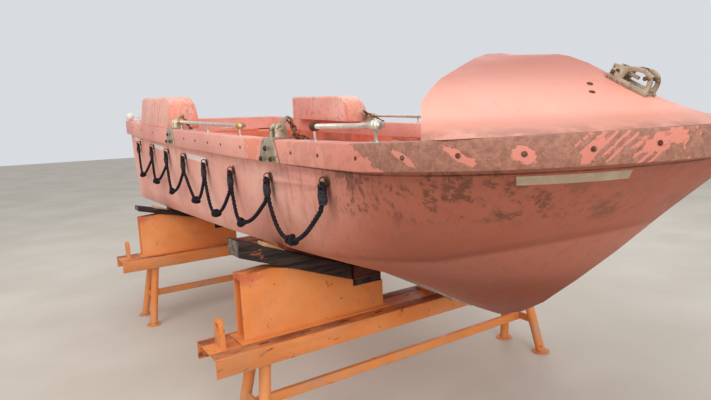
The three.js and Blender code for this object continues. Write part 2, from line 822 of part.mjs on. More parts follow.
// The wrap round both legs under an eye
function lineWrap([x, z], sign) {
  const { halfWide, halfDeep, from, to, ends } = LINE_WRAP;
  const half = (to - from) / 2;
  const profile = [[0, -half], [ends, -half], [1, 0], [ends, half], [0, half]];
  const geometry = new THREE.LatheGeometry(profile.map((p) => new THREE.Vector2(...p)), 8);
  geometry.scale(halfWide, 1, halfDeep);
  geometry.rotateX(Math.PI / 2);
  geometry.translate(x, sign * curtainAt(x), z - from - half);
  return solidOf(geometry);
}

// The knot at the low point of a loop
function lineKnot([x, z], sign) {
  const geometry = new THREE.SphereGeometry(1, 8, 5);
  geometry.scale(LINE_KNOT.radius, LINE_KNOT.halfLong, LINE_KNOT.radius);
  geometry.rotateZ(Math.PI / 2);
  geometry.translate(x, sign * curtainAt(x), z);
  return solidOf(geometry);
}

function grabLine(sign) {
  const line = ropePoints().map(([x, z]) => [x, sign * curtainAt(x), z]);
  return joined(
    tube(line, LINE.radius, 1, LINE.sides),
    ...LINE_EYES.map((eye) => lineWrap(eye, sign)),
    ...LINE_LOOPS.map((low) => lineKnot(low, sign)),
  );
}

function lineEye(x, z, sign) {
  const wall = topsideAt(x, z);
  const { thick, outer, root, half, holeFrom, holeTo, holeHalf } = LINE_EYE;
  const ring = (y0, y1, tall, wide) => {
    const [a, b] = sign > 0 ? [wall + y0, wall + y1] : [-wall - y1, -wall - y0];
    return block(x - wide / 2, x + wide / 2, a, b, z - tall, z + tall);
  };
  return cut(ring(-root, outer, half, thick), ring(holeFrom, holeTo, holeHalf, thick * 2));
}

// Trestle pieces, in the trestle's own frame with x across the beam

function beam(x) {
  const { halfWidth, halfLength, top, height, plate } = BEAM;
  const channel = cut(
    block(x - halfWidth, x + halfWidth, -halfLength, halfLength, top - height, top),
    block(x - halfWidth + plate, x + halfWidth - plate, -halfLength - plate, halfLength + plate,
      top - height - plate, top - plate),
  );
  const lugs = SIDES.map(({ sign }) => {
    const outline = new THREE.Shape();
    outline.moveTo(x - LUG.halfWidth, top - plate / 2);
    outline.lineTo(x + LUG.halfWidth, top - plate / 2);
    outline.lineTo(x + LUG.halfWidth, top + LUG.rise - LUG.halfWidth);
    outline.absarc(x, top + LUG.rise - LUG.halfWidth, LUG.halfWidth, 0, Math.PI, false);
    const hole = new THREE.Path();
    hole.absarc(x, top + LUG.rise - LUG.halfWidth, LUG.hole, 0, 2 * Math.PI, true);
    outline.holes.push(hole);
    const y = sign * LUG.y;
    return lengthwise(outline, y - LUG.thick / 2, y + LUG.thick / 2);
  });
  return joined(channel, ...lugs);
}

// Height of the hull bottom at half breadth y over a trestle
function bottomOver(x, y) {
  const keel = tableAt(KEEL_HEIGHT, x);
  const chine = tableAt(CHINE_HEIGHT, x);
  return keel + ((chine - keel) * y) / tableAt(CHINE_BREADTH, x);
}

// The squared timber lies parallel to the bottom, under its packing
function timberOver({ x }, y) {
  return bottomOver(x, y) - PACKING.thick;
}

function timberUnder(trestle, y) {
  return timberOver(trestle, y) - trestle.timber;
}

function pedestal(trestle, sign) {
  const { x } = trestle;
  const low = BEAM.top + SEAT_GAP;
  const { front, back, outer, inner, stepY, stepZ } = PEDESTAL;
  const seat = (y) => [y, timberUnder(trestle, y) - SEAT_GAP];
  const corners = [
    [inner, low],
    [outer, low],
    ...PEDESTAL_CROWN,
    seat(BOLSTER.bearsTo),
    seat(stepY),
    [stepY, stepZ],
    [inner, stepZ],
  ].map(([y, z]) => [sign * y, z]);
  const body = crosswise(corners, x + back, x + front);
  const { wall, deep, under } = PEDESTAL_END;
  const span = (y0, y1) => (sign > 0 ? [y0, y1] : [-y1, -y0]);
  const recess = block(x + back + wall, x + front - wall, ...span(outer - deep, outer + wall),
    low + BASE_PLATE.thick, PEDESTAL_CROWN[0][1] - under);
  const { thick, spread, past } = BASE_PLATE;
  const base = block(x + back - spread, x + front + spread,
    ...span(inner - past, outer + past), low, low + thick);
  return joined(cut(body, recess), base);
}

function legFrame(x, sign) {
  const top = BEAM.top - BEAM.plate - SEAT_GAP;
  const slopeX = (LEG.footX - LEG.topX) / LEG.topZ;
  const slopeY = (LEG.footY - LEG.topY) / LEG.topZ;
  const at = (way, z) => [
    x + way * (LEG.footX - slopeX * z),
    sign * (LEG.footY - slopeY * z),
    z,
  ];
  const reach = 40;
  const slab = 500;
  const above = block(x - slab, x + slab, -3000, 3000, top, top + slab);
  const below = block(x - slab, x + slab, -3000, 3000, -slab, 0);
  const pieces = [-1, 1].map((way) => {
    const pipe = cut(bar(at(way, 0), at(way, top + reach), LEG.radius, 20), above, below);
    const [fx, fy] = at(way, 0);
    return joined(pipe, bar([fx, fy, 0], [fx, fy, FOOT.thick], FOOT.radius, 24));
  });
  const [, braceY] = at(1, TIE.z);
  const span = LEG.footX - slopeX * TIE.z;
  const brace = block(x - span, x + span, braceY - BRACE.thick / 2, braceY + BRACE.thick / 2,
    TIE.z - BRACE.height / 2, TIE.z + BRACE.height / 2);
  return joined(...pieces, brace);
}

function tieBar(x) {
  const braceY = LEG.footY - ((LEG.footY - LEG.topY) / LEG.topZ) * TIE.z;
  const end = braceY - BRACE.thick / 2 - SEAT_GAP;
  return block(x - TIE.width / 2, x + TIE.width / 2, -end, end,
    TIE.z - TIE.height / 2, TIE.z + TIE.height / 2);
}

function bolster(trestle, sign) {
  const { from, to, front, back } = BOLSTER;
  const corners = [
    [from, timberUnder(trestle, from)],
    [to, timberUnder(trestle, to)],
    [to, timberOver(trestle, to)],
    [from, timberOver(trestle, from)],
  ].map(([y, z]) => [sign * y, z]);
  return crosswise(corners, trestle.x + back, trestle.x + front);
}

// Boards between a timber and the bottom
function packing(trestle, sign, hullSeat) {
  const { thick, from, to, front, back } = PACKING;
  const corners = [
    [from, timberOver(trestle, from) + SEAT_GAP],
    [to, timberOver(trestle, to) + SEAT_GAP],
    [to, timberOver(trestle, to) + 2 * thick],
    [from, timberOver(trestle, from) + 2 * thick],
  ].map(([y, z]) => [sign * y, z]);
  return cut(crosswise(corners, trestle.x + back, trestle.x + front), hullSeat);
}

// The block on the inner step bears on the bottom at its inner end
function innerPad({ x }, sign, hullSeat) {
  const { inFrom, outFrom, slope, ends } = INNER_PAD;
  const low = PEDESTAL.stepZ + SEAT_GAP;
  const near = PEDESTAL.inner + inFrom;
  const far = PEDESTAL.stepY - outFrom;
  const high = bottomOver(x, near) + ends;
  const corners = [
    [near, low],
    [far, low],
    [far, high + slope * (far - near)],
    [near, high],
  ].map(([y, z]) => [sign * y, z]);
  return cut(crosswise(corners, x + PEDESTAL.back + ends, x + PEDESTAL.front - ends), hullSeat);
}

// Finishes
const FINISH = {
  hull: { color: 0xd9826a, roughness: 0.7, metalness: 0 },
  hood: { color: 0xde8b76, roughness: 0.65, metalness: 0 },
  liner: { color: 0xd66a4c, roughness: 0.6, metalness: 0 },
  strip: { color: 0xb9b7b2, roughness: 0.6, metalness: 0 },
  trestle: { color: 0xd97536, roughness: 0.6, metalness: 0.2 },
  timber: { color: 0x3c2c25, roughness: 0.9, metalness: 0 },
  rubber: { color: 0x2a2523, roughness: 0.9, metalness: 0 },
  steel: { color: 0x8f8779, roughness: 0.5, metalness: 0.8 },
  rope: { color: 0x26222a, roughness: 0.95, metalness: 0 },
  white: { color: 0xe6e1da, roughness: 0.4, metalness: 0 },
};

const part = new THREE.Group();
const boat = new THREE.Group();
const trestles = new THREE.Group();
part.add(boat, trestles);

function add(group, name, solid, finish) {
  const geometry = geometryOf(solid);
  geometry.translate(MIDDLE, 0, 0);
  const mesh = new THREE.Mesh(geometry, new THREE.MeshStandardMaterial(FINISH[finish]));
  mesh.name = name;
  group.add(mesh);
}

const room = well(SEAT_GAP);
const hull = cut(hullBody(), bandBody(SEAT_GAP), well(0));
const hullSeat = hullBody(SEAT_GAP);
const bandSeat = bandBody(-SEAT_GAP);

const lineEyes = SIDES.flatMap(({ sign }) => LINE_EYES.map(([x, z]) => lineEye(x, z, sign)));

add(boat, "hull", joined(hull, ...lineEyes), "hull");
add(boat, "gunwale_band", gunwaleBand(), "hull");
add(boat, "bow_hood", bowHood(), "hood");
add(boat, "keel_strip", keelStrip(), "strip");
add(boat, "stern_deck", sternDeck(room), "liner");
add(boat, "stern_locker_lid", sternLid(), "liner");
for (const item of THWARTS) add(boat, item.name, thwart(item), "liner");
add(boat, "painter_release_base", releaseBase(hoodBody(0, SEAT_GAP)), "steel");
add(boat, "painter_release_lever", releaseLever(), "steel");
add(boat, "stern_light", sternLight(bandSeat), "white");
for (const { name, sign } of SIDES) {
  add(boat, "quarter_box_" + name, quarterBox(sign), "hull");
  add(boat, "side_bench_" + name, sideBench(sign, room), "liner");
  add(boat, "bench_lid_" + name, benchLid(sign), "liner");
  for (const place of BRACKETS) {
    const bracket = liftingBracket(place.x, sign, bandSeat);
    add(boat, ["lifting_bracket", place.name, name].join("_"), bracket, "steel");
  }
  for (const rail of RAILS) {
    add(boat, ["grab_rail", rail.name, name].join("_"), grabRail(rail, sign, bandSeat), "steel");
  }
  add(boat, "grab_line_" + name, grabLine(sign), "rope");
}
for (const trestle of TRESTLES) {
  const { name, x } = trestle;
  add(trestles, "trestle_beam_" + name, beam(x), "trestle");
  add(trestles, "tie_bar_" + name, tieBar(x), "trestle");
  for (const side of SIDES) {
    const tag = [name, side.name].join("_");
    add(trestles, "pedestal_" + tag, pedestal(trestle, side.sign), "trestle");
    add(trestles, "leg_frame_" + tag, legFrame(x, side.sign), "trestle");
    add(trestles, "bolster_" + tag, bolster(trestle, side.sign), "timber");
    add(trestles, "packing_" + tag, packing(trestle, side.sign, hullSeat), "timber");
    add(trestles, "inner_pad_" + tag, innerPad(trestle, side.sign, hullSeat), "rubber");
  }
}

export default part;
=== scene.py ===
import json
import math

import bmesh
import bpy
from mathutils import Matrix, Vector


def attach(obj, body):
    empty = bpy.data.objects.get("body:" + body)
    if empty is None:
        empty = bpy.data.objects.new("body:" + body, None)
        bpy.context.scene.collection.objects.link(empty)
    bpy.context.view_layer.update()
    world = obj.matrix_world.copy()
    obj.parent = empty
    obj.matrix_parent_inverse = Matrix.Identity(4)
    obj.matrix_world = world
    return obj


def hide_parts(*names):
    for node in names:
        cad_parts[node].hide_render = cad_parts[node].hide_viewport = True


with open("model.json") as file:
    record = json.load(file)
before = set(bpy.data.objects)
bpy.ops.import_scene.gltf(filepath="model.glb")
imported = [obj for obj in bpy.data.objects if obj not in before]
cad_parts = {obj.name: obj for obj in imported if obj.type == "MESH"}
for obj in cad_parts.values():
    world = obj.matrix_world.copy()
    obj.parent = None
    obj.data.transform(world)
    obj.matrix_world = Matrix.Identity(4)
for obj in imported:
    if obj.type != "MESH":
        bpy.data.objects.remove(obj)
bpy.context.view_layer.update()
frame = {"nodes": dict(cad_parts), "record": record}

BOAT = "boat_on_trestles"
SIDES = (("port", 1), ("starboard", -1))
TRESTLE_X = {"forward": 0.935, "aft": -1.516}
# The gunwale's top is lowest at the knee, rises aft over the run by a power, and evenly forward
SHEER = {"knee": 1.885, "low": 1.612, "rise": 0.228, "run": 4.65, "power": 1.42, "bow": 0.024 / 0.88}
BAND_DEPTH = 0.105
# Seat of the painter release on the hood as x and z, and the hood's slope there in degrees
RELEASE_SEAT = {"x": 2.335, "z": 1.786, "slope": 31}
# The camera stands off the starboard bow, at eye height
CAMERA = {"place": (3.488, -1.990, 1.677), "lens": 26.97, "heading": 57.29, "down": 7.93, "roll": -2.51}


def add_camera():
    data = bpy.data.cameras.new("camera")
    data.sensor_width = 36
    data.lens = CAMERA["lens"]
    camera = bpy.data.objects.new("camera", data)
    bpy.context.scene.collection.objects.link(camera)
    turn = (
        Matrix.Rotation(math.radians(CAMERA["heading"]), 4, "Z")
        @ Matrix.Rotation(math.radians(90 - CAMERA["down"]), 4, "X")
        @ Matrix.Rotation(math.radians(CAMERA["roll"]), 4, "Z")
    )
    camera.matrix_world = Matrix.Translation(CAMERA["place"]) @ turn
    bpy.context.scene.camera = camera


add_camera()
bpy.context.scene.view_settings.view_transform = "Standard"


# Small helpers for pieces


def deselect():
    for item in bpy.context.selected_objects:
        item.select_set(False)


def activate(piece):
    deselect()
    piece.select_set(True)
    bpy.context.view_layer.objects.active = piece


def added(name):
    """Name the primitive that has just been added and put its place, turn and size into its mesh."""
    piece = bpy.context.active_object
    piece.name = name
    piece.data.name = name
    activate(piece)
    bpy.ops.object.transform_apply(location=True, rotation=True, scale=True)
    return piece


def finish_modifier(piece, kind, **settings):
    activate(piece)
    modifier = piece.modifiers.new(kind.lower(), kind)
    for key, value in settings.items():
        setattr(modifier, key, value)
    bpy.ops.object.modifier_apply(modifier=modifier.name)
    return piece


def bevelled(piece, width, segments=2):
    """Ease the edges that turn by more than 35 degrees."""
    sharp = math.radians(35)
    return finish_modifier(
        piece, "BEVEL", width=width, segments=segments, limit_method="ANGLE", angle_limit=sharp
    )


def smooth(piece, angle=35):
    activate(piece)
    bpy.ops.object.shade_smooth_by_angle(angle=math.radians(angle))
    return piece


def dressed(piece, finish, body=BOAT):
    """Give a finished piece its material and the body it rides on."""
    piece.data.materials.clear()
    piece.data.materials.append(finish)
    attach(piece, body)
    return piece


def block(name, low, high):
    deselect()
    centre = [(a + b) / 2 for a, b in zip(low, high)]
    size = [b - a for a, b in zip(low, high)]
    bpy.ops.mesh.primitive_cube_add(size=1, location=centre, scale=size)
    return added(name)


def disc(name, centre, radius, depth, axis="Z", sides=24):
    deselect()
    turn = {"X": (0, math.pi / 2, 0), "Y": (math.pi / 2, 0, 0), "Z": (0, 0, 0)}[axis]
    bpy.ops.mesh.primitive_cylinder_add(
        vertices=sides, radius=radius, depth=depth, location=centre, rotation=turn
    )
    return added(name)


def copy_of(piece, name):
    """A second piece with a mesh of its own."""
    twin = piece.copy()
    twin.data = piece.data.copy()
    twin.name = name
    twin.data.name = name
    twin.parent = None
    bpy.context.scene.collection.objects.link(twin)
    return twin


def edit_all():
    """Go to edit mode with the whole mesh of the active piece selected."""
    bpy.ops.object.mode_set(mode="EDIT")
    bpy.ops.mesh.select_all(action="SELECT")


def leave_edit():
    bpy.ops.object.mode_set(mode="OBJECT")


def cut(spot, way, **options):
    """Cut the mesh in edit mode through a place, square to a way."""
    bpy.ops.mesh.select_all(action="SELECT")
    bpy.ops.mesh.bisect(plane_co=spot, plane_no=way, **options)


def joined(name, pieces):
    activate(pieces[0])
    for piece in pieces[1:]:
        piece.select_set(True)
    bpy.ops.object.join()
    whole = bpy.context.active_object
    whole.name = name
    whole.data.name = name
    return whole


# Procedural finishes


class Finish:
    """A procedural material while it is being put together."""

    def __init__(self, name, roughness=0.6, metallic=0.0, specular=0.4):
        self.material = bpy.data.materials.new(name)
        self.material.use_nodes = True
        self.tree = self.material.node_tree
        self.shader = self.tree.nodes["Principled BSDF"]
        self.shader.inputs["Roughness"].default_value = roughness
        self.shader.inputs["Metallic"].default_value = metallic
        self.shader.inputs["Specular IOR Level"].default_value = specular
        self.place = self.node("ShaderNodeTexCoord").outputs["Object"]
        self.axes = self.node("ShaderNodeSeparateXYZ")
        self.link(self.place, self.axes.inputs[0])

    def node(self, kind, **settings):
        made = self.tree.nodes.new(kind)
        for key, value in settings.items():
            setattr(made, key, value)
        return made

    def link(self, source, target):
        if isinstance(source, (int, float)):
            target.default_value = source
        elif isinstance(source, tuple):
            target.default_value = (*source, 1.0)
        else:
            self.tree.links.new(source, target)

    def texture(self, kind, scale, stretch):
        """A texture in the object's own axes; a larger stretch makes it finer along that axis."""
        mapping = self.node("ShaderNodeMapping")
        mapping.inputs["Scale"].default_value = stretch
        self.link(self.place, mapping.inputs["Vector"])
        made = self.node(kind)
        self.link(mapping.outputs[0], made.inputs["Vector"])
        made.inputs["Scale"].default_value = scale
        return made

    def noise(self, scale, detail=4, rough=0.55, stretch=(1, 1, 1), twist=0.0):
        """Noise over the surface, from 0 to 1."""
        made = self.texture("ShaderNodeTexNoise", scale, stretch)
        made.inputs["Detail"].default_value = detail
        made.inputs["Roughness"].default_value = rough
        made.inputs["Distortion"].default_value = twist
        return made.outputs["Fac"]

    def patchy(self, low, high, *noise, **settings):
        """Noise as patches: 0 where it is at or below low and 1 at or above high."""
        return self.step(self.noise(*noise, **settings), low, high)

    def cells(self, scale, stretch=(1, 1, 1)):
        """Distance to the nearest of many scattered points."""
        return self.texture("ShaderNodeTexVoronoi", scale, stretch).outputs["Distance"]

    def step(self, value, low, high, start=0.0, end=1.0):
        """Smooth ramp of a value: start at or below low, end at or above high."""
        ramp = self.node("ShaderNodeMapRange", interpolation_type="SMOOTHSTEP")
        self.link(value, ramp.inputs["Value"])
        ramp.inputs["From Min"].default_value = low
        ramp.inputs["From Max"].default_value = high
        ramp.inputs["To Min"].default_value = start
        ramp.inputs["To Max"].default_value = end
        return ramp.outputs["Result"]

    def maths(self, operation, a, b=0.5):
        made = self.node("ShaderNodeMath", operation=operation)
        self.link(a, made.inputs[0])
        self.link(b, made.inputs[1])
        return made.outputs[0]

    def both(self, a, b):
        return self.maths("MULTIPLY", a, b)

    def blend(self, share, a, b, kind="MIX"):
        """Colour a where share is 0 and colour b where it is 1."""
        made = self.node("ShaderNodeMix", data_type="RGBA", blend_type=kind)
        for source, socket in ((share, 0), (a, 6), (b, 7)):
            self.link(source, made.inputs[socket])
        return made.outputs[2]

    def over(self, base, mask, share, tone):
        """The base with a tone over it, where the mask says and as strongly as share says."""
        return self.blend(self.both(mask, share), base, tone)

    def shade(self, share, base, tone):
        """The base colour multiplied by a tone, as far as share says."""
        return self.blend(share, base, tone, "MULTIPLY")

    def most(self, *values):
        """The largest of several values."""
        whole = values[0]
        for value in values[1:]:
            whole = self.maths("MAXIMUM", whole, value)
        return whole

    def window(self, value, low, high, soft):
        """1 between low and high and 0 outside, with edges as wide as soft."""
        return self.both(self.step(value, low - soft, low), self.step(value, high + soft, high))

    def breadth(self):
        """Distance from the middle plane, the same on both sides."""
        return self.maths("ABSOLUTE", self.axis("Y"))

    def oval(self, place, normal, length, height, fall):
        """1 in the middle of a slanting oval on an upright face, 0 at its edge and beyond."""
        forward = self.both(self.maths("SUBTRACT", self.axis("X"), place[0]), -normal[1])
        inward = self.both(self.maths("SUBTRACT", abs(place[1]), self.breadth()), normal[0])
        along = self.maths("ADD", forward, inward)
        level = self.maths("SUBTRACT", self.axis("Z"), place[2])
        across = self.maths("ADD", level, self.both(along, fall))
        far = self.both(along, 1 / length)
        high = self.both(across, 1 / height)
        apart = self.maths("ADD", self.both(far, far), self.both(high, high))
        return self.step(self.maths("SQRT", apart), 1.0, 0.0)

    def axis(self, letter):
        return self.axes.outputs[letter]

    def colour(self, value):
        self.link(value, self.shader.inputs["Base Color"])

    def roughness(self, value):
        self.link(value, self.shader.inputs["Roughness"])

    def bump(self, height, depth):
        made = self.node("ShaderNodeBump")
        made.inputs["Distance"].default_value = depth
        self.link(height, made.inputs["Height"])
        self.link(made.outputs[0], self.shader.inputs["Normal"])

    def done(self, base, height, depth):
        """Set the colour and the fine relief, and hand over the material."""
        self.colour(base)
        self.bump(height, depth)
        return self.material


def srgb(red, green, blue):
    """Linear colour of an sRGB colour from 0 to 255."""
    shares = (red / 255, green / 255, blue / 255)
    return tuple(s / 12.92 if s <= 0.04045 else ((s + 0.055) / 1.055) ** 2.4 for s in shares)


# Colours of the weathered boat and its trestles
SALMON = srgb(233, 158, 141)
FADED_SALMON = srgb(243, 184, 168)
DEEP_ORANGE = srgb(196, 104, 78)
BROWN_DIRT = srgb(122, 82, 64)
GREY_DIRT = srgb(142, 112, 96)
RUST_STAIN = srgb(150, 78, 50)
LINER = srgb(214, 108, 78)
TRESTLE_ORANGE = srgb(216, 126, 60)
RED_PRIMER = srgb(128, 58, 44)
RUST = srgb(106, 58, 34)
DUST = srgb(176, 152, 128)
STRIP_WHITE = srgb(236, 230, 226)

# Eyes of the grab lines along the starboard side as x, half breadth and z, from aft
LINE_EYES = [
    (-2.235, 0.8879, 1.596),
    (-1.595, 0.9051, 1.568),
    (-1.030, 0.9153, 1.535),
    (-0.515, 0.9211, 1.508),
    (-0.015, 0.9233, 1.478),
    (0.480, 0.9226, 1.450),
    (1.005, 0.9227, 1.440),
    (1.570, 0.9200, 1.451),
]
# Reflective strips on the topside: from x, to x, middle height at the first x, and fall per metre
STRIPS = [
    (-2.60, -2.28, 1.650, 0.060),
    (-1.66, -1.20, 1.583, 0.060),
    (-0.52, -0.02, 1.517, 0.056),
]
# The chine's crease is the higher of two straight rises: from x, height there, and slope
CHINE = [(1.195, 1.075, 0.09), (1.935, 1.142, 0.262)]
# Pebbled patches across thwarts, stern deck and its lid: from x, to x, and their half breadth
TREADS = [
    (-2.685, -2.60),
    (-2.52, -2.24),
    (-2.04, -1.97),
    (-1.10, -0.85),
    (1.40, 1.65),
]
TREAD_HALF = 0.32


def gelcoat_hull():
    """Chalked salmon gelcoat of the topsides, browner and darker towards the lower bow, where the darkening
    is painted shade in part, with painted shade along the chine's crease and under the band, and a painted
    sheen below the chine.
    """
    f = Finish("gelcoat_hull", roughness=0.58)
    x, y, z = f.axis("X"), f.breadth(), f.axis("Z")
    cloud = f.noise(1.6, 5)
    base = f.blend(f.step(cloud, 0.35, 0.68), SALMON, FADED_SALMON)
    patches = f.patchy(0.52, 0.68, 5.5, 6, 0.65, twist=0.6)
    base = f.over(base, patches, 0.35, srgb(214, 128, 108))
    # Towards the bow a deeper orange and a darkening: partly its own colour, partly painted shade where the
    # bow turns away from the light
    reach = f.maths("ADD", f.step(x, 1.15, 2.1), f.both(f.noise(1.3, 4), 0.3))
    forward = f.step(reach, 0.15, 1.15)
    base = f.over(base, forward, 0.75, DEEP_ORANGE)
    base = f.shade(f.both(forward, 0.85), base, srgb(205, 186, 170))
    # Painted shade: darker low on the bow, where the bottom faces down
    low = f.both(f.step(z, 1.42, 1.0), f.window(x, 1.0, 2.0, 0.7))
    base = f.shade(low, base, srgb(206, 180, 158))
    rises = []
    for start, height, slope in CHINE:
        rises.append(f.maths("ADD", f.both(f.maths("SUBTRACT", x, start), slope), height))
    over_chine = f.maths("SUBTRACT", z, f.most(*rises))
    # Painted shade: a soft dark line along the chine's crease, forward
    crease_shade = f.both(f.window(over_chine, -0.004, 0.004, 0.022), f.step(x, 0.9, 1.3, 0.0, 0.30))
    base = f.shade(crease_shade, base, srgb(196, 176, 160))
    # Painted sheen: paler just below the chine towards the bow
    sheen_below_chine = f.both(f.step(over_chine, 0.0, -0.02), f.step(z, 0.93, 1.10))
    base = f.blend(f.both(sheen_below_chine, f.step(x, 1.5, 2.0, 0.0, 0.20)), base, srgb(236, 158, 136))
    streaks = f.patchy(0.5, 0.72, 9, 5, 0.6, stretch=(3.2, 3.2, 0.22))
    base = f.blend(f.both(streaks, f.both(f.step(x, -0.6, 1.4), 0.34)), base, BROWN_DIRT)
    swept = f.patchy(0.55, 0.66, 6, 7, 0.68, stretch=(0.7, 0.7, 2.2), twist=1.8)
    base = f.blend(f.both(swept, f.step(x, 0.8, 2.2, 0.05, 0.42)), base, srgb(150, 96, 76))
    grime = f.patchy(0.56, 0.75, 14, 8, 0.7, twist=0.8)
    base = f.blend(f.both(grime, f.step(x, -1.5, 2.0, 0.12, 0.4)), base, GREY_DIRT)
    under_band = f.step(z, 1.40, 1.58)
    drips = f.patchy(0.5, 0.66, 16, 4, 0.6, stretch=(2.4, 2.4, 0.1))
    base = f.over(base, f.both(drips, under_band), 0.4, BROWN_DIRT)
    moss = f.patchy(0.50, 0.57, 15, 10, 0.78, stretch=(1, 1, 0.7), twist=0.35)
    mossy = f.both(f.window(x, 1.75, 2.35, 0.25), f.window(z, 1.36, 1.50, 0.07))
    base = f.over(base, f.both(moss, mossy), 0.8, srgb(104, 62, 46))
    chalk = f.patchy(0.54, 0.70, 4.5, 6, 0.65, twist=0.9)
    base = f.blend(f.both(chalk, f.step(x, 1.2, 0.2, 0.0, 0.35)), base, srgb(240, 196, 180))
    knee = SHEER["knee"]
    share_aft = f.maths("MAXIMUM", f.both(f.maths("SUBTRACT", knee, x), 1 / SHEER["run"]), 0.0)
    rise = f.both(f.maths("POWER", share_aft, SHEER["power"]), SHEER["rise"])
    bow_rise = f.both(f.maths("MAXIMUM", f.maths("SUBTRACT", x, knee), 0.0), SHEER["bow"])
    foot = f.maths("ADD", f.maths("ADD", rise, bow_rise), SHEER["low"] - BAND_DEPTH)
    # Painted shade: a dark line just under the band's lower edge, under a lip there
    lip_shade = f.window(f.maths("SUBTRACT", foot, z), 0.009, 0.012, 0.003)
    base = f.shade(f.both(lip_shade, f.step(f.noise(12, 5), 0.3, 0.55, 0.5, 0.95)), base, srgb(160, 128, 116))
    stains = []
    for eye_x, _, eye_z in LINE_EYES:
        below = f.both(f.step(z, eye_z - 0.16, eye_z - 0.03), f.step(z, eye_z + 0.035, eye_z + 0.02))
        stains.append(f.both(below, f.window(x, eye_x - 0.006, eye_x + 0.006, 0.018)))
    rusty = f.both(f.most(*stains), f.step(f.noise(22, 4), 0.3, 0.6, 0.45, 0.9))
    base = f.blend(rusty, base, RUST_STAIN)
    strips = []
    for start, end, height, fall in STRIPS:
        along = f.maths("SUBTRACT", x, start)
        level = f.maths("ADD", z, f.both(along, fall))
        strip = f.window(level, height - 0.019, height + 0.019, 0.0012)
        strips.append(f.both(strip, f.window(x, start, end, 0.0012)))
    wear = f.step(f.noise(13, 7, 0.7, twist=0.6), 0.36, 0.5, 1.0, 0.72)
    base = f.blend(f.both(f.most(*strips), wear), base, STRIP_WHITE)
    bow_level = f.maths("ADD", z, f.both(f.maths("SUBTRACT", y, 0.70), 0.017))
    bow_along = f.maths("ADD", y, f.both(f.maths("SUBTRACT", 1.52, z), 0.73))
    bow_strip = f.both(f.window(bow_level, 1.470, 1.500, 0.0012), f.window(bow_along, 0.393, 0.708, 0.0015))
    base = f.blend(f.both(bow_strip, f.both(f.step(x, 2.0, 2.01), wear)), base, srgb(190, 176, 152))
    f.roughness(f.step(cloud, 0.3, 0.7, 0.45, 0.7))
    return f.done(base, f.maths("ADD", f.noise(60, 4, 0.6), f.both(f.noise(5, 3), 1.5)), 0.0012)


# Round heads along the gunwale band: place on the starboard side and the way the band faces
BAND_BOLTS = [
    ((2.111, -0.9180, 1.566), (0.20, -0.98, 0)),
    ((2.308, -0.8595, 1.574), (0.34, -0.94, 0)),
    ((2.472, -0.7585, 1.576), (0.61, -0.79, 0)),
    ((2.600, -0.6235, 1.584), (0.81, -0.58, 0)),
    ((2.693, -0.4545, 1.592), (0.93, -0.37, 0)),
]
# Clean ovals in the grime round those bolts: half length, half height, and fall per metre
CLEAN_OVALS = [
    (0.105, 0.026, 0.46),
    (0.130, 0.032, 0.55),
    (0.078, 0.058, 0.30),
    (0.060, 0.050, -0.9),
    (0.170, 0.066, -0.15),
]


def gelcoat_band():
    """Gunwale band: pink and lightly streaked aft, covered in brown grime forward."""
    f = Finish("gelcoat_band", roughness=0.6)
    x = f.axis("X")
    base = f.blend(f.patchy(0.35, 0.65, 2.4, 5), SALMON, srgb(240, 172, 154))
    base = f.shade(f.step(x, 0.8, 2.2), base, srgb(230, 204, 198))
    dull = f.both(f.patchy(0.40, 0.60, 1.3, 3), f.step(x, 1.0, 0.0))
    base = f.shade(dull, base, srgb(236, 232, 234))
    fresh = f.both(f.window(x, 0.82, 1.03, 0.03), f.patchy(0.42, 0.50, 9, 6, 0.65, twist=0.8))
    base = f.over(base, fresh, 0.6, srgb(228, 122, 88))
    smudges = f.both(f.window(x, 1.30, 1.95, 0.10), f.patchy(0.46, 0.58, 9, 8, 0.7, twist=0.9))
    base = f.over(base, smudges, 0.45, srgb(184, 118, 98))
    # The grime starts at a slanting line and leaves the ovals round the bolts clean
    past = f.maths("ADD", x, f.both(f.maths("SUBTRACT", f.axis("Z"), SHEER["low"]), 1.94))
    cover = f.step(past, 1.72, 1.97)
    clean = []
    for (place, normal), (length, height, fall) in zip(BAND_BOLTS, CLEAN_OVALS):
        clean.append(f.oval(place, normal, length, height, fall))
    grime = f.noise(9, 10, 0.74, stretch=(1, 1, 1.3), twist=0.7)
    score = f.maths("SUBTRACT", cover, f.most(*clean))
    score = f.maths("ADD", score, f.both(f.maths("SUBTRACT", grime, 0.5), 2.1))
    slant = f.maths("ADD", f.breadth(), f.axis("Z"))
    slashes = f.patchy(0.46, 0.60, 5, 5, 0.6, twist=0.6)
    ripple = f.maths("SINE", f.maths("ADD", f.both(slant, 210), f.both(f.noise(7, 4), 9)))
    rays = f.both(f.both(slashes, f.step(ripple, -0.1, 0.7)), f.step(x, 2.50, 2.62))
    score = f.maths("SUBTRACT", score, f.both(rays, 0.7))
    flecks = f.patchy(0.60, 0.66, 30, 7, 0.7, twist=0.5)
    score = f.maths("SUBTRACT", score, f.both(f.both(flecks, f.step(x, 2.24, 2.34)), 0.75))
    dirty = f.step(score, 0.44, 0.52)
    tone = f.blend(f.patchy(0.38, 0.62, 38, 9, 0.8), srgb(134, 90, 72), srgb(170, 120, 100))
    base = f.over(base, dirty, 0.92, tone)
    scars = f.patchy(0.62, 0.68, 7, 3, 0.5, stretch=(2.2, 2.2, 7), twist=2.5)
    base = f.over(base, scars, 0.4, BROWN_DIRT)
    nicks = f.step(f.cells(9, stretch=(1, 1, 3)), 0.05, 0.02)
    base = f.over(base, nicks, 0.7, srgb(60, 44, 38))
    return f.done(base, f.maths("ADD", f.noise(45, 5, 0.6), f.both(dirty, 0.6)), 0.0015)


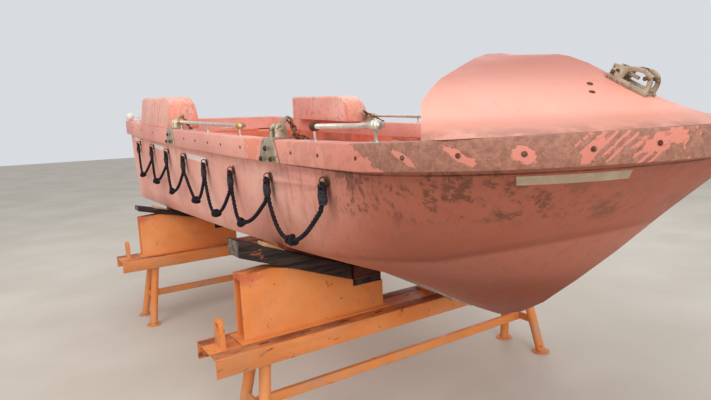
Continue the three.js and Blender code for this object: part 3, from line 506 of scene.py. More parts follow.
def gelcoat_box():
    """Side boxes: faded, with whitish wear, and a redder fore end in painted shade."""
    f = Finish("gelcoat_box", roughness=0.58)
    base = f.blend(f.patchy(0.35, 0.65, 2.4, 5), srgb(238, 168, 150), srgb(246, 190, 174))
    # Painted shade: the forward face is redder and darker
    fore_face_shade = f.step(f.axis("X"), -0.86, -0.78)
    base = f.over(base, fore_face_shade, 0.7, srgb(226, 128, 104))
    wear = f.patchy(0.52, 0.62, 8, 7, 0.7, stretch=(1, 1, 0.6), twist=1.6)
    base = f.over(base, wear, 0.55, srgb(206, 178, 158))
    scars = f.patchy(0.58, 0.63, 6, 3, 0.5, stretch=(5, 5, 1.2), twist=2.5)
    base = f.over(base, scars, 0.6, srgb(162, 104, 84))
    low = f.both(f.step(f.axis("Z"), 1.80, 1.72), f.patchy(0.4, 0.65, 10, 5))
    base = f.over(base, low, 0.45, BROWN_DIRT)
    return f.done(base, f.noise(50, 4, 0.5), 0.001)


def gelcoat_hood():
    """Smooth faded hood, with painted shade on top and along the bevelled rim at its foot, and dirt at the
    foot.
    """
    f = Finish("gelcoat_hood", roughness=0.46)
    z = f.axis("Z")
    base = f.blend(f.patchy(0.3, 0.7, 1.8, 4), srgb(240, 163, 143), srgb(245, 175, 155))
    # Painted shade: darker on top and along the bevelled rim at the foot
    base = f.shade(f.step(z, 1.70, 1.92), base, srgb(196, 172, 168))
    base = f.shade(f.step(z, 1.70, 1.66), base, srgb(232, 226, 220))
    scuffs = f.patchy(0.6, 0.7, 6, 6, 0.6, stretch=(1, 3, 1), twist=1.4)
    base = f.over(base, scuffs, 0.3, srgb(212, 122, 102))
    sweeps = f.patchy(0.60, 0.66, 2.6, 3, 0.5, stretch=(1, 9, 2), twist=0.7)
    base = f.over(base, sweeps, 0.10, srgb(196, 136, 116))
    foot = f.both(f.step(z, 1.665, 1.63), f.patchy(0.38, 0.6, 9, 6, 0.65))
    base = f.over(base, foot, 0.5, BROWN_DIRT)
    specks = f.step(f.cells(14), 0.05, 0.02)
    base = f.over(base, specks, 0.5, BROWN_DIRT)
    f.roughness(f.step(f.noise(3, 4), 0.3, 0.7, 0.38, 0.6))
    return f.done(base, f.noise(50, 4, 0.5), 0.001)


def gelcoat_liner():
    """Inside of the boat: stronger orange with trodden dirt and pebbled patches to step on."""
    f = Finish("gelcoat_liner", roughness=0.58)
    x, y = f.axis("X"), f.breadth()
    base = f.blend(f.patchy(0.35, 0.65, 2.2, 5), LINER, srgb(226, 130, 102))
    treads = []
    for start, end in TREADS:
        treads.append(f.both(f.window(x, start, end, 0.002), f.step(y, TREAD_HALF + 0.002, TREAD_HALF)))
    tread = f.most(*treads)
    pebbles = f.cells(95)
    base = f.shade(f.both(tread, f.step(pebbles, 0.15, 0.5, 0.55, 0.15)), base, srgb(190, 170, 160))
    dirt = f.patchy(0.46, 0.66, 3.5, 8, 0.65, twist=0.8)
    base = f.over(base, dirt, 0.5, srgb(120, 74, 56))
    dust = f.patchy(0.5, 0.72, 24, 6, 0.7)
    base = f.over(base, dust, 0.25, GREY_DIRT)
    raised = f.both(tread, f.step(pebbles, 0.55, 0.25))
    return f.done(base, f.maths("ADD", f.noise(70, 4, 0.6), raised), 0.0014)


def paint_grey():
    f = Finish("paint_grey", roughness=0.65)
    base = f.blend(f.patchy(0.3, 0.7, 5, 5), srgb(160, 152, 144), srgb(196, 190, 182))
    base = f.over(base, f.patchy(0.5, 0.7, 11, 6, 0.7), 0.6, BROWN_DIRT)
    return f.done(base, f.noise(40, 5), 0.001)


def paint_trestle():
    """Orange paint, worn through to red primer and rust, dusty on top."""
    f = Finish("paint_trestle", roughness=0.55, specular=0.35)
    z = f.axis("Z")
    base = f.blend(f.patchy(0.3, 0.7, 2.2, 5), TRESTLE_ORANGE, srgb(226, 144, 80))
    base = f.over(base, f.patchy(0.5, 0.7, 6, 6, 0.6), 0.25, srgb(188, 104, 56))
    corner = f.both(f.step(f.breadth(), 0.86, 1.06), f.step(z, 0.86, 0.94))
    blotches = f.patchy(0.42, 0.52, 7, 6, 0.65, twist=0.8)
    base = f.over(base, f.both(corner, blotches), 0.7, srgb(176, 66, 44))
    chips = f.patchy(0.63, 0.66, 13, 8, 0.72, twist=1.5)
    base = f.blend(chips, base, RED_PRIMER)
    rust = f.patchy(0.67, 0.73, 21, 8, 0.75, twist=0.6)
    base = f.over(base, rust, 0.85, RUST)
    dust = f.both(f.patchy(0.4, 0.7, 6, 6, 0.6), f.step(z, 0.62, 0.1, 0.1, 0.6))
    base = f.blend(dust, base, DUST)
    f.roughness(f.step(f.noise(8, 4), 0.3, 0.7, 0.45, 0.8))
    return f.done(base, f.maths("ADD", f.both(chips, -0.6), f.noise(55, 4)), 0.0015)


def paint_beam():
    """Trestle beams: worn paint, dark and bare between the pedestal bases and the edges, and slotted, the
    slots being painted shade.
    """
    f = Finish("paint_beam", roughness=0.55, specular=0.35)
    y, z = f.breadth(), f.axis("Z")
    base = f.blend(f.patchy(0.3, 0.7, 2.2, 5), srgb(212, 122, 58), srgb(224, 140, 80))
    top = f.step(z, 0.594, 0.597)
    beside = []
    for middle in TRESTLE_X.values():
        away = f.maths("ABSOLUTE", f.maths("SUBTRACT", f.axis("X"), middle))
        beside.append(f.window(away, 0.070, 0.136, 0.012))
    worn = f.step(f.noise(4, 7, 0.65, stretch=(1.2, 0.5, 1)), 0.36, 0.62, 0.25, 0.9)
    base = f.blend(f.both(f.both(top, f.most(*beside)), worn), base, srgb(104, 52, 38))
    slots = []
    for start in (0.26, 0.50, 0.74, 0.98):
        slots.append(f.window(y, start, start + 0.05, 0.002))
    slot_rows = []
    for middle in TRESTLE_X.values():
        away = f.maths("SUBTRACT", f.axis("X"), middle)
        slot_rows.append(f.window(away, 0.092, 0.104, 0.0015))
    # Painted shade: the slots are near-black holes
    slot_shade = f.both(f.most(*slots), f.both(f.most(*slot_rows), top))
    base = f.over(base, slot_shade, 0.92, srgb(24, 18, 16))
    face = f.patchy(0.44, 0.66, 3, 6, 0.65, stretch=(1, 0.35, 2.2), twist=0.7)
    base = f.blend(f.both(face, f.step(z, 0.597, 0.594, 0.1, 0.35)), base, srgb(150, 104, 72))
    chips = f.patchy(0.60, 0.64, 11, 8, 0.72, stretch=(1, 0.6, 1), twist=1.5)
    base = f.over(base, chips, 0.9, RED_PRIMER)
    rust = f.patchy(0.62, 0.70, 21, 8, 0.75, twist=0.6)
    base = f.over(base, rust, 0.85, RUST)
    dust = f.both(f.patchy(0.46, 0.7, 7, 6, 0.65, stretch=(1, 0.5, 1)), 0.4)
    base = f.blend(dust, base, DUST)
    f.roughness(f.step(f.noise(8, 4), 0.3, 0.7, 0.45, 0.8))
    return f.done(base, f.maths("ADD", f.both(chips, -0.6), f.noise(55, 4)), 0.0015)


def old_timber():
    """Dark squared timber with grain along it, bruised and paler at its outer end."""
    f = Finish("old_timber", roughness=0.85, specular=0.2)
    grain = f.noise(26, 6, 0.65, stretch=(1.2, 0.12, 1.8), twist=0.6)
    base = f.blend(f.step(grain, 0.3, 0.7), srgb(34, 28, 28), srgb(70, 56, 50))
    paint = f.patchy(0.60, 0.64, 5, 7, 0.7, stretch=(1, 0.6, 1.4), twist=1.0)
    base = f.over(base, paint, 0.7, srgb(150, 84, 56))
    end = f.step(f.breadth(), 1.0886, 1.0894)
    speckle = f.blend(f.patchy(0.38, 0.62, 60, 6, 0.7), srgb(74, 62, 58), srgb(142, 126, 116))
    base = f.blend(end, base, speckle)
    splits = f.patchy(0.66, 0.69, 9, 3, 0.5, stretch=(3, 0.05, 3))
    base = f.over(base, splits, 0.8, srgb(18, 14, 13))
    return f.done(base, grain, 0.004)


def sawn_wood(name, roughness, grain_scale, stretch, tones, stain_noise, share, stain):
    """Sawn wood with grain along it and a stain in patches."""
    f = Finish(name, roughness=roughness, specular=0.2)
    grain = f.noise(grain_scale, 5, 0.6, stretch=stretch, twist=0.5)
    base = f.blend(f.step(grain, 0.3, 0.7), *tones)
    return f.done(f.over(base, f.patchy(0.5, 0.7, *stain_noise), share, stain), grain, 0.002)


def red_board():
    """Red-brown packing boards."""
    tones = (srgb(92, 46, 34), srgb(150, 84, 62))
    return sawn_wood("red_board", 0.82, 24, (1.2, 0.12, 1.6), tones, (8, 6), 0.5, srgb(60, 40, 34))


def pad_stack():
    """Dark red timber on black rubber."""
    f = Finish("pad_stack", roughness=0.8, specular=0.25)
    z = f.axis("Z")
    grain = f.noise(22, 5, 0.6, stretch=(1, 0.15, 1.6))
    wood = f.blend(f.step(grain, 0.3, 0.7), srgb(62, 30, 24), srgb(110, 56, 42))
    rubber = f.blend(f.patchy(0.4, 0.7, 16, 5), srgb(30, 27, 26), srgb(62, 56, 52))
    return f.done(f.blend(f.step(z, 0.794, 0.796), rubber, wood), grain, 0.002)


def steel(name, tone, rust_share):
    """Dull galvanised steel with rust creeping over it."""
    f = Finish(name, roughness=0.5, metallic=0.7, specular=0.5)
    light = tuple(c * 1.35 for c in tone)
    base = f.blend(f.patchy(0.3, 0.7, 18, 5, 0.6), tone, light)
    rust = f.step(f.noise(26, 8, 0.72, twist=0.8), 0.62 - rust_share * 0.3, 0.72 - rust_share * 0.2)
    base = f.over(base, rust, 0.8, srgb(112, 66, 42))
    f.roughness(f.step(rust, 0.0, 1.0, 0.42, 0.85))
    return f.done(base, f.noise(90, 5, 0.6), 0.0006)


def rope_fibre():
    f = Finish("rope_fibre", roughness=0.95, specular=0.15)
    fuzz = f.noise(320, 4, 0.7)
    base = f.blend(f.step(fuzz, 0.3, 0.7), srgb(20, 18, 24), srgb(52, 46, 52))
    base = f.over(base, f.patchy(0.55, 0.75, 30, 5), 0.35, srgb(92, 76, 66))
    return f.done(base, fuzz, 0.0015)


def wrap_tape():
    f = Finish("wrap_tape", roughness=0.7, specular=0.3)
    turns = f.noise(60, 3, 0.5, stretch=(0.3, 0.3, 3.0))
    return f.done(f.blend(f.step(turns, 0.35, 0.65), srgb(24, 22, 27), srgb(58, 54, 58)), turns, 0.003)


def pale_wood():
    """Fresh softwood of the wedges."""
    tones = (srgb(178, 138, 98), srgb(214, 178, 134))
    return sawn_wood("pale_wood", 0.8, 30, (1.4, 0.12, 1.4), tones, (9, 5), 0.4, srgb(120, 86, 62))


def white_plastic():
    f = Finish("white_plastic", roughness=0.35, specular=0.5)
    stain = f.patchy(0.5, 0.75, 34, 5, 0.6)
    tone = f.blend(f.both(stain, 0.5), srgb(226, 218, 208), srgb(168, 150, 132))
    return f.done(tone, f.noise(80, 3), 0.0004)


FINISHES = {
    "hull_orange": gelcoat_hull(),
    "band_orange": gelcoat_band(),
    "box_orange": gelcoat_box(),
    "hood_orange": gelcoat_hood(),
    "liner_orange": gelcoat_liner(),
    "keel_grey": paint_grey(),
    "trestle_paint": paint_trestle(),
    "timber_dark": old_timber(),
    "pad_rubber": pad_stack(),
    "beam_paint": paint_beam(),
    "red_board": red_board(),
    "fitting_steel": steel("bracket_steel", srgb(166, 152, 130), 0.35),
    "rail_steel": steel("rail_steel", srgb(200, 192, 180), 0.12),
    "bolt_steel": steel("bolt_steel", srgb(140, 130, 116), 0.45),
    "rusty_steel": steel("rusty_steel", srgb(116, 92, 72), 0.8),
    "brass": steel("brass_fitting", srgb(176, 138, 78), 0.1),
    "brown_iron": steel("brown_iron", srgb(92, 58, 42), 0.9),
    "pale_wood": pale_wood(),
    "rope_dark": rope_fibre(),
    "tape_dark": wrap_tape(),
    "light_white": white_plastic(),
}


# Smooth or bevelled stand-ins of the solids: name start, finish, slot, smoothing angle, bevel
SURFACES = [
    ("hull", "hull_orange", "hull_orange", 32, 0),
    ("gunwale_band", "band_orange", "hull_orange", 32, 0.006),
    ("bow_hood", "hood_orange", "hood_orange", 60, 0),
    ("quarter_box", "box_orange", "hull_orange", 40, 0.008),
    ("keel_strip", "keel_grey", "keel_grey", 35, 0.004),
    ("stern_deck", "liner_orange", "liner_orange", 35, 0.006),
    ("stern_locker_lid", "liner_orange", "liner_orange", 35, 0.004),
    ("side_bench", "liner_orange", "liner_orange", 35, 0.006),
    ("bench_lid", "liner_orange", "liner_orange", 35, 0.004),
    ("thwart", "liner_orange", "liner_orange", 35, 0.008),
    ("painter_release_base", "fitting_steel", "fitting_steel", 35, 0.0015),
    ("painter_release_lever", "fitting_steel", "fitting_steel", 40, 0.001),
    ("lifting_bracket", "fitting_steel", "fitting_steel", 35, 0.0012),
    ("grab_rail", "rail_steel", "fitting_steel", 60, 0),
    ("stern_light", "light_white", "light_white", 60, 0),
    ("trestle_beam", "beam_paint", "trestle_paint", 35, 0.002),
    ("tie_bar", "trestle_paint", "trestle_paint", 35, 0.003),
    ("pedestal", "trestle_paint", "trestle_paint", 35, 0.002),
    ("leg_frame", "trestle_paint", "trestle_paint", 40, 0),
    ("bolster", "timber_dark", "timber_dark", 35, 0.006),
    ("packing", "red_board", "timber_dark", 35, 0.004),
    ("inner_pad", "pad_rubber", "pad_rubber", 35, 0.005),
]
NODE_BODY = {}
for moving_body, its_nodes in frame["record"]["behaviour"]["bodies"].items():
    for its_node in its_nodes:
        NODE_BODY[its_node] = moving_body


def stand_in(node, finish, angle, bevel):
    """A merged copy of a solid's mesh, eased at its edges and shaded smooth between them."""
    piece = copy_of(bpy.data.objects[node], node + "_skin")
    activate(piece)
    edit_all()
    bpy.ops.mesh.remove_doubles(threshold=0.00002)
    bpy.ops.mesh.dissolve_limited(angle_limit=math.radians(0.4))
    leave_edit()
    if bevel:
        bevelled(piece, bevel)
    smooth(piece, angle)
    dressed(piece, FINISHES[finish], NODE_BODY[node])
    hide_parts(node)
    return piece


def dress_solids():
    for node in sorted(frame["nodes"]):
        for start, finish, slot, angle, bevel in SURFACES:
            if node.startswith(start):
                stand_in(node, finish, angle, bevel)
                break


dress_solids()


# Low point of each loop as x and z, and how hollow the rope hangs aft of it and forward of it
LINE_LOOPS = [
    (-2.125, 1.288, 3, 1.5),
    (-1.495, 1.262, 3, 1.6),
    (-0.905, 1.221, 2.6, 2),
    (-0.260, 1.207, 1.3, 2.2),
    (0.170, 1.163, 3.2, 1.8),
    (0.620, 1.163, 3.2, 1.8),
    (1.250, 1.157, 3, 1.7),
]
ROPE = {"radius": 0.012, "turn": 0.016, "drop": 0.0212, "tied": 0.110, "steps": 5, "lay": 0.075}
ROPE_SPACING = 0.0085
# The tape round both legs under an eye, and the knot in the low of each loop
WRAP = {"half": 0.031, "below": 0.063, "wide": 0.0285, "deep": 0.0175}
KNOT = {"half": 0.023, "wide": 0.0155, "thick": 0.0115}


def label(*parts):
    """Piece name made of its parts."""
    return "_".join(str(part) for part in parts)


def mix(a, b, share):
    return a + (b - a) * share


def between(stops, x):
    """The value at x on straight lines from stop to stop, each stop being x, value and the rest."""
    for (x0, y0, *_), (x1, y1, *_) in zip(stops, stops[1:]):
        if x <= x1:
            return mix(y0, y1, (x - x0) / (x1 - x0))
    return stops[-1][1]


def breadth_at(x):
    """Half breadth of the grab line at a place along the boat."""
    return between(LINE_EYES, x)


def loop_points(order, sign):
    """The route of one loop, from the turn at its aft eye to the turn at its fore eye."""
    aft_x, _, aft_z = LINE_EYES[order]
    fore_x, _, fore_z = LINE_EYES[order + 1]
    low_x, low_z, aft_power, fore_power = LINE_LOOPS[order]
    turn, drop, tied, steps = ROPE["turn"], ROPE["drop"], ROPE["tied"], ROPE["steps"]
    points = [(aft_x + turn, aft_z - drop), (aft_x + turn, aft_z - mix(drop, tied, 0.5))]
    for i in range(steps, 0, -1):
        share = i / steps
        fall = mix(low_z, aft_z - tied, share**aft_power)
        points.append((mix(low_x, aft_x + turn, share), fall))
    points.append((low_x, low_z))
    for i in range(1, steps + 1):
        share = i / steps
        rise = mix(low_z, fore_z - tied, share**fore_power)
        points.append((mix(low_x, fore_x - turn, share), rise))
    points += [(fore_x - turn, fore_z - mix(drop, tied, 0.5)), (fore_x - turn, fore_z - drop)]
    return [Vector((x, sign * breadth_at(x), z)) for x, z in points]


def smooth_line(points, spacing):
    """Even points along a centripetal curve through the given points."""
    ends = [points[0] * 2 - points[1], *points, points[-1] * 2 - points[-2]]
    fine = []
    for p0, p1, p2, p3 in zip(ends, ends[1:], ends[2:], ends[3:]):
        t1 = (p1 - p0).length ** 0.5
        t2 = t1 + (p2 - p1).length ** 0.5
        t3 = t2 + (p3 - p2).length ** 0.5
        for i in range(12):
            t = mix(t1, t2, i / 12)
            a1 = p0 * ((t1 - t) / t1) + p1 * (t / t1)
            a2 = p1 * ((t2 - t) / (t2 - t1)) + p2 * ((t - t1) / (t2 - t1))
            a3 = p2 * ((t3 - t) / (t3 - t2)) + p3 * ((t - t2) / (t3 - t2))
            b1 = a1 * ((t2 - t) / t2) + a2 * (t / t2)
            b2 = a2 * ((t3 - t) / (t3 - t1)) + a3 * ((t - t1) / (t3 - t1))
            fine.append(b1 * ((t2 - t) / (t2 - t1)) + b2 * ((t - t1) / (t2 - t1)))
    fine.append(points[-1])
    even = [fine[0]]
    left = spacing
    for a, b in zip(fine, fine[1:]):
        run = (b - a).length
        while run >= left:
            a = a + (b - a) * (left / run)
            even.append(a)
            run -= left
            left = spacing
        left -= run
    if (even[-1] - fine[-1]).length < spacing / 2:
        even.pop()
    even.append(fine[-1])
    return even


def laid_rope(name, line, radius, lay):
    """Three strands twisted round a line, as one tube with a three-lobed section."""
    sides = 15
    mesh = bmesh.new()
    tangent = (line[1] - line[0]).normalized()
    across = tangent.cross(Vector((0, 1, 0))).normalized()
    rings = []
    run = 0.0
    for i, point in enumerate(line):
        ahead = (line[min(i + 1, len(line) - 1)] - line[max(i - 1, 0)]).normalized()
        across = (across - ahead * across.dot(ahead)).normalized()
        up = ahead.cross(across)
        if i:
            run += (point - line[i - 1]).length
        twist = 2 * math.pi * run / lay
        ring = []
        for j in range(sides):
            angle = 2 * math.pi * j / sides
            lobe = radius * (0.86 + 0.14 * math.cos(3 * angle))
            spoke = across * math.cos(angle + twist) + up * math.sin(angle + twist)
            ring.append(mesh.verts.new(point + spoke * lobe))
        rings.append(ring)
    for a, b in zip(rings, rings[1:]):
        for j in range(sides):
            k = (j + 1) % sides
            mesh.faces.new((a[j], a[k], b[k], b[j]))
    mesh.faces.new(list(reversed(rings[0])))
    mesh.faces.new(rings[-1])
    bmesh.ops.recalc_face_normals(mesh, faces=mesh.faces)
    data = bpy.data.meshes.new(name)
    mesh.to_mesh(data)
    mesh.free()
    piece = bpy.data.objects.new(name, data)
    bpy.context.scene.collection.objects.link(piece)
    return smooth(piece, 80)


def line_turn(name, order, sign):
    """The rope's turn through one eye."""
    x, _, z = LINE_EYES[order]
    turn, drop = ROPE["turn"], ROPE["drop"]
    points = [Vector((x - turn, sign * breadth_at(x - turn), z - drop - 0.03))]
    for degrees in range(180, -1, -20):
        angle = math.radians(degrees)
        px = x + turn * math.cos(angle)
        points.append(Vector((px, sign * breadth_at(px), z - drop + turn * math.sin(angle))))
    points.append(Vector((x + turn, sign * breadth_at(x + turn), z - drop - 0.03)))
    return laid_rope(name, smooth_line(points, 0.005), ROPE["radius"], ROPE["lay"])


def line_wrap(name, order, sign):
    """Tape wound over both legs under an eye, in uneven turns."""
    x, y, z = LINE_EYES[order]
    deselect()
    bpy.ops.mesh.primitive_cylinder_add(vertices=28, radius=1, depth=2 * WRAP["half"])
    piece = added(name)
    edit_all()
    cut((0, 0, 0), (0, 0, 1))
    leave_edit()
    finish_modifier(piece, "SUBSURF", levels=1, render_levels=1, subdivision_type="SIMPLE")
    finish_modifier(piece, "SUBSURF", levels=2, render_levels=2, subdivision_type="SIMPLE")
    for vertex in piece.data.vertices:
        height = vertex.co.z / WRAP["half"]
        swell = (1 - 0.2 * height * height) * (1 + 0.05 * math.sin(height * 17 + order))
        lean = 0.05 * math.sin(3 * math.atan2(vertex.co.y, vertex.co.x) + height * 4 + order)
        vertex.co.x *= WRAP["wide"] * (swell + lean)
        vertex.co.y *= WRAP["deep"] * (swell + lean)
    piece.data.transform(Matrix.Translation((x, sign * y, z - WRAP["below"])))
    return smooth(piece, 60)


def line_knot(name, order, sign):
    """A knot: the rope wound round itself at the low point of a loop."""
    low_x, low_z, _, _ = LINE_LOOPS[order]
    place = Vector((low_x, sign * breadth_at(low_x), low_z))
    points = []
    for i in range(41):
        angle = 2 * math.pi * i / 40 * 2.0
        wide = KNOT["wide"] * (1 + 0.25 * math.cos(1.5 * angle))
        along = mix(-KNOT["half"], KNOT["half"], i / 40) + 0.3 * KNOT["half"] * math.sin(1.5 * angle)
        points.append(Vector((along, wide * math.cos(angle), wide * math.sin(angle))))
    piece = laid_rope(name, smooth_line(points, 0.005), KNOT["thick"], ROPE["lay"])
    tilt = Matrix.Rotation(0.5 * math.sin(order * 2.3), 4, "Y")
    piece.data.transform(Matrix.Translation(place) @ tilt)
    return piece


def line_part(part, side, finish="rope_dark"):
    """Dress a part of the grab line, which stands for the line's solid on its side."""
    dressed(part, FINISHES[finish])
    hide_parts("grab_line_" + side)
    return part


def add_grab_lines():
    """A turn and a wrap at every eye, and between the eyes loops with a knot at their low."""
    for side, sign in SIDES:
        turns = []
        for order in range(len(LINE_EYES)):
            turn = line_turn(label("line_turn", side, order), order, sign)
            wrap = line_wrap(label("line_wrap", side, order), order, sign)
            turns.append([line_part(turn, side), line_part(wrap, side, "tape_dark")])
        for order in range(len(LINE_LOOPS)):
            line = smooth_line(loop_points(order, sign), ROPE_SPACING)
            loop = laid_rope(label("line_loop", side, order), line, ROPE["radius"], ROPE["lay"])
            knot = line_knot(label("line_knot", side, order), order, sign)
            line_part(loop, side)
            with_pieces = [line_part(knot, side), *turns[order]]
            if order == len(LINE_LOOPS) - 1:
                with_pieces += turns[order + 1]


add_grab_lines()


# Fittings, fasteners and other small parts


def band_top(x):
    """Height of the gunwale's top at a place along the boat."""
    past = x - SHEER["knee"]
    if past >= 0:
        return SHEER["low"] + SHEER["bow"] * past
    return SHEER["low"] + SHEER["rise"] * (-past / SHEER["run"]) ** SHEER["power"]


def stand(place, normal=(0, 0, 1), turn=0.0):
    """Place and turn of a model whose own up is +Z, set on a surface at a place."""
    facing = Vector(normal).to_track_quat("Z", "Y").to_matrix().to_4x4()
    return Matrix.Translation(place) @ facing @ Matrix.Rotation(turn, 4, "Z")


def quarter_turn(axis="Z"):
    return Matrix.Rotation(math.pi / 2, 4, axis)


def to_side(sign):
    """No turn for the port side, and half a turn about the upright for the starboard side."""
    return Matrix.Rotation(0 if sign > 0 else math.pi, 4, "Z")


def shifted(piece, *move):
    piece.data.transform(Matrix.Translation(move))
    return piece


def set_out(name, model, places, finish, body=BOAT):
    """Copies of one model at many places, joined to one piece; the model itself goes."""
    copies = []
    for order, place in enumerate(places):
        twin = copy_of(model, name + "_" + str(order))
        twin.data.transform(place)
        copies.append(twin)
    bpy.data.objects.remove(model)
    return dressed(joined(name, copies), FINISHES[finish], body)


def edit_faces(piece, chosen):
    """Go to edit mode with only the faces that the test picks selected."""
    activate(piece)
    bpy.ops.object.mode_set(mode="EDIT")
    bpy.ops.mesh.select_mode(type="FACE")
    bpy.ops.mesh.select_all(action="DESELECT")
    leave_edit()
    for face in piece.data.polygons:
        face.select = chosen(face)
    bpy.ops.object.mode_set(mode="EDIT")


def dome_head(radius, rise):
    """Round bolt head on a thin washer."""
    deselect()
    bpy.ops.mesh.primitive_uv_sphere_add(segments=18, ring_count=10, radius=radius)
    head = added("dome_head")
    edit_all()
    cut((0, 0, 0), (0, 0, 1), clear_inner=True, use_fill=True)
    bpy.ops.mesh.select_all(action="SELECT")
    bpy.ops.transform.resize(value=(1, 1, rise / radius), center_override=(0, 0, 0))
    leave_edit()
    shifted(head, 0, 0, 0.0015)
    washer = bevelled(disc("washer", (0, 0, 0.0008), radius * 1.45, 0.0016, sides=20), 0.0004, 1)
    return smooth(joined("dome_head", [head, washer]), 40)


def hex_head(radius, rise):
    """Hexagon head with a chamfer, a washer and the stub of its thread."""
    head = bevelled(disc("hex_head", (0, 0, 0.002 + rise / 2), radius, rise, sides=6), 0.0009, 1)
    washer = bevelled(disc("washer", (0, 0, 0.001), radius * 1.35, 0.002, sides=20), 0.0005, 1)
    stub = disc("stub", (0, 0, 0.002 + rise), radius * 0.5, rise * 0.8, sides=12)
    bevelled(stub, 0.0008, 1)
    return smooth(joined("hex_head", [head, washer, stub]), 35)


def oval_link(length, wide, thick, rings=10):
    """A chain link: a ring whose halves are drawn apart along X."""
    deselect()
    bpy.ops.mesh.primitive_torus_add(
        major_radius=wide / 2 - thick / 2,
        minor_radius=thick / 2,
        major_segments=24,
        minor_segments=rings,
    )
    link = added("oval_link")
    apart = (length - wide) / 2
    for vertex in link.data.vertices:
        if abs(vertex.co.x) > 0.00001:
            vertex.co.x += math.copysign(apart, vertex.co.x)
    return smooth(link, 60)


def shackle(wide, reach, thick):
    """A bow shackle: the pin lies along X through the origin and the bow points along +Z."""
    deselect()
    bpy.ops.mesh.primitive_torus_add(
        major_radius=wide / 2,
        minor_radius=thick / 2,
        major_segments=32,
        minor_segments=14,
        rotation=(math.pi / 2, 0, 0),
    )
    bow = added("shackle")
    edit_all()
    cut((0, 0, 0), (0, 0, 1), clear_inner=True, use_fill=True)
    leave_edit()
    shifted(bow, 0, 0, reach - wide / 2)
    edit_faces(bow, lambda face: face.normal.z < -0.9)
    bpy.ops.mesh.extrude_region_move(TRANSFORM_OT_translate={"value": (0, 0, wide / 2 - reach)})
    leave_edit()
    eyes = []
    for sign in (-1, 1):
        eye = disc("eye", (sign * wide / 2, 0, 0), thick * 1.05, thick * 1.15, "X", 20)
        eyes.append(bevelled(eye, thick * 0.15, 2))
    pin = disc("pin", (0, 0, 0), thick * 0.48, wide + thick * 3.4, "X", 16)
    collar = disc("collar", (wide / 2 + thick * 1.3, 0, 0), thick * 0.8, thick * 0.5, "X", 16)
    return smooth(joined("shackle", [bow, *eyes, pin, bevelled(collar, thick * 0.1, 1)]), 45)


def chain(name, points, link_length, wide, thick, finish):
    """Links set along a path, each turned a quarter from the last."""
    model = oval_link(link_length, wide, thick)
    pitch = link_length - 2.2 * thick
    line = smooth_line([Vector(p) for p in points], pitch)
    places = []
    for order, (a, b) in enumerate(zip(line, line[1:])):
        along = (b - a).to_track_quat("X", "Z").to_matrix().to_4x4()
        quarter = Matrix.Rotation(math.pi / 2 * (order % 2) + 0.2, 4, "X")
        places.append(Matrix.Translation((a + b) / 2) @ along @ quarter)
    return set_out(name, model, places, finish)


# Lifting brackets: where they stand, their half breadth, and their bolts from the gunwale's top
BRACKET_X = {"forward": 1.127, "aft": -0.705}
BRACKET_FACE = {"forward": 0.9596, "aft": 0.9537}
BRACKET_BOLTS = [(0, -0.040), (-0.056, -0.090), (0.056, -0.090)]
# Way of the chain: forward of its bracket, half breadth, and height over the gunwale's top
CHAIN_WAY = [
    (0.004, 0.842, 0.098),
    (0.045, 0.836, 0.052),
    (0.092, 0.852, 0.011),
    (0.140, 0.846, 0.009),
    (0.182, 0.824, -0.012),
    (0.194, 0.816, -0.075),
    (0.196, 0.816, -0.160),
]


def add_bracket_parts():
    """Bolts, lifting shackles, the chain at the forward brackets and the bottle screws aft."""
    bolts = []
    for name, x in BRACKET_X.items():
        for _, sign in SIDES:
            face = sign * BRACKET_FACE[name] + sign * 0.01
            for along, up in BRACKET_BOLTS:
                bolts.append(stand((x + along, face, band_top(x) + up), (0, sign, 0), along * 9))
    set_out("bracket_bolts", hex_head(0.0105, 0.007), bolts, "brown_iron")
    for side, sign in SIDES:
        for name, x in BRACKET_X.items():
            pin_z = band_top(x) + 0.047
            pin_y = sign * (BRACKET_FACE[name] - 0.053)
            lean = Matrix.Rotation(sign * math.radians(48), 4, "X")
            bow = shackle(0.030, 0.088, 0.0105)
            place = Matrix.Translation((x, pin_y, pin_z)) @ lean
            set_out(label("shackle", name, side), bow, [place], "bolt_steel")
        x = BRACKET_X["forward"]
        route = [(x + ahead, sign * half, band_top(x) + up) for ahead, half, up in CHAIN_WAY]
        chain("chain_" + side, route, 0.046, 0.030, 0.0088, "rusty_steel")
        add_bottle_screw("bottle_screw_" + side, sign)


def add_bottle_screw(name, sign):
    """A bottle screw lying forward from the aft shackle on top of the gunwale."""
    x = BRACKET_X["aft"]
    near = Vector((x + 0.012, sign * 0.846, band_top(x) + 0.092))
    far = Vector((x + 0.265, sign * 0.862, band_top(x + 0.265) + 0.013))
    frame_link = oval_link(0.135, 0.030, 0.0085, 12)
    rods = []
    for end in (-1, 1):
        rod = disc("rod", (end * 0.085, 0, 0), 0.0052, 0.075, "X", 14)
        nut = bevelled(disc("nut", (end * 0.060, 0, 0), 0.0098, 0.014, "X", 6), 0.001, 1)
        ring = oval_link(0.034, 0.030, 0.0075)
        shifted(ring, end * 0.134, 0, 0)
        rods += [rod, nut, ring]
    whole = smooth(joined(name, [frame_link, *rods]), 40)
    along = (far - near).to_track_quat("X", "Z").to_matrix().to_4x4()
    place = Matrix.Translation((near + far) / 2) @ along
    set_out(name, whole, [place], "rusty_steel")


# Small screws along the gunwale band
BAND_SCREWS = [-2.35, -1.85, -1.35, -0.333, -0.064, 0.197, 0.438, 0.75, 1.35, 1.590, 1.868]
# Half breadth over the band at stops along the boat
BAND_STOPS = [
    (-2.765, 0.890),
    (-2.065, 0.915),
    (-1.265, 0.935),
    (-0.265, 0.948),
    (0.935, 0.950),
    (1.835, 0.942),
]


def band_half(x):
    """Half breadth over the gunwale band at a place along the boat."""
    return between(BAND_STOPS, x)


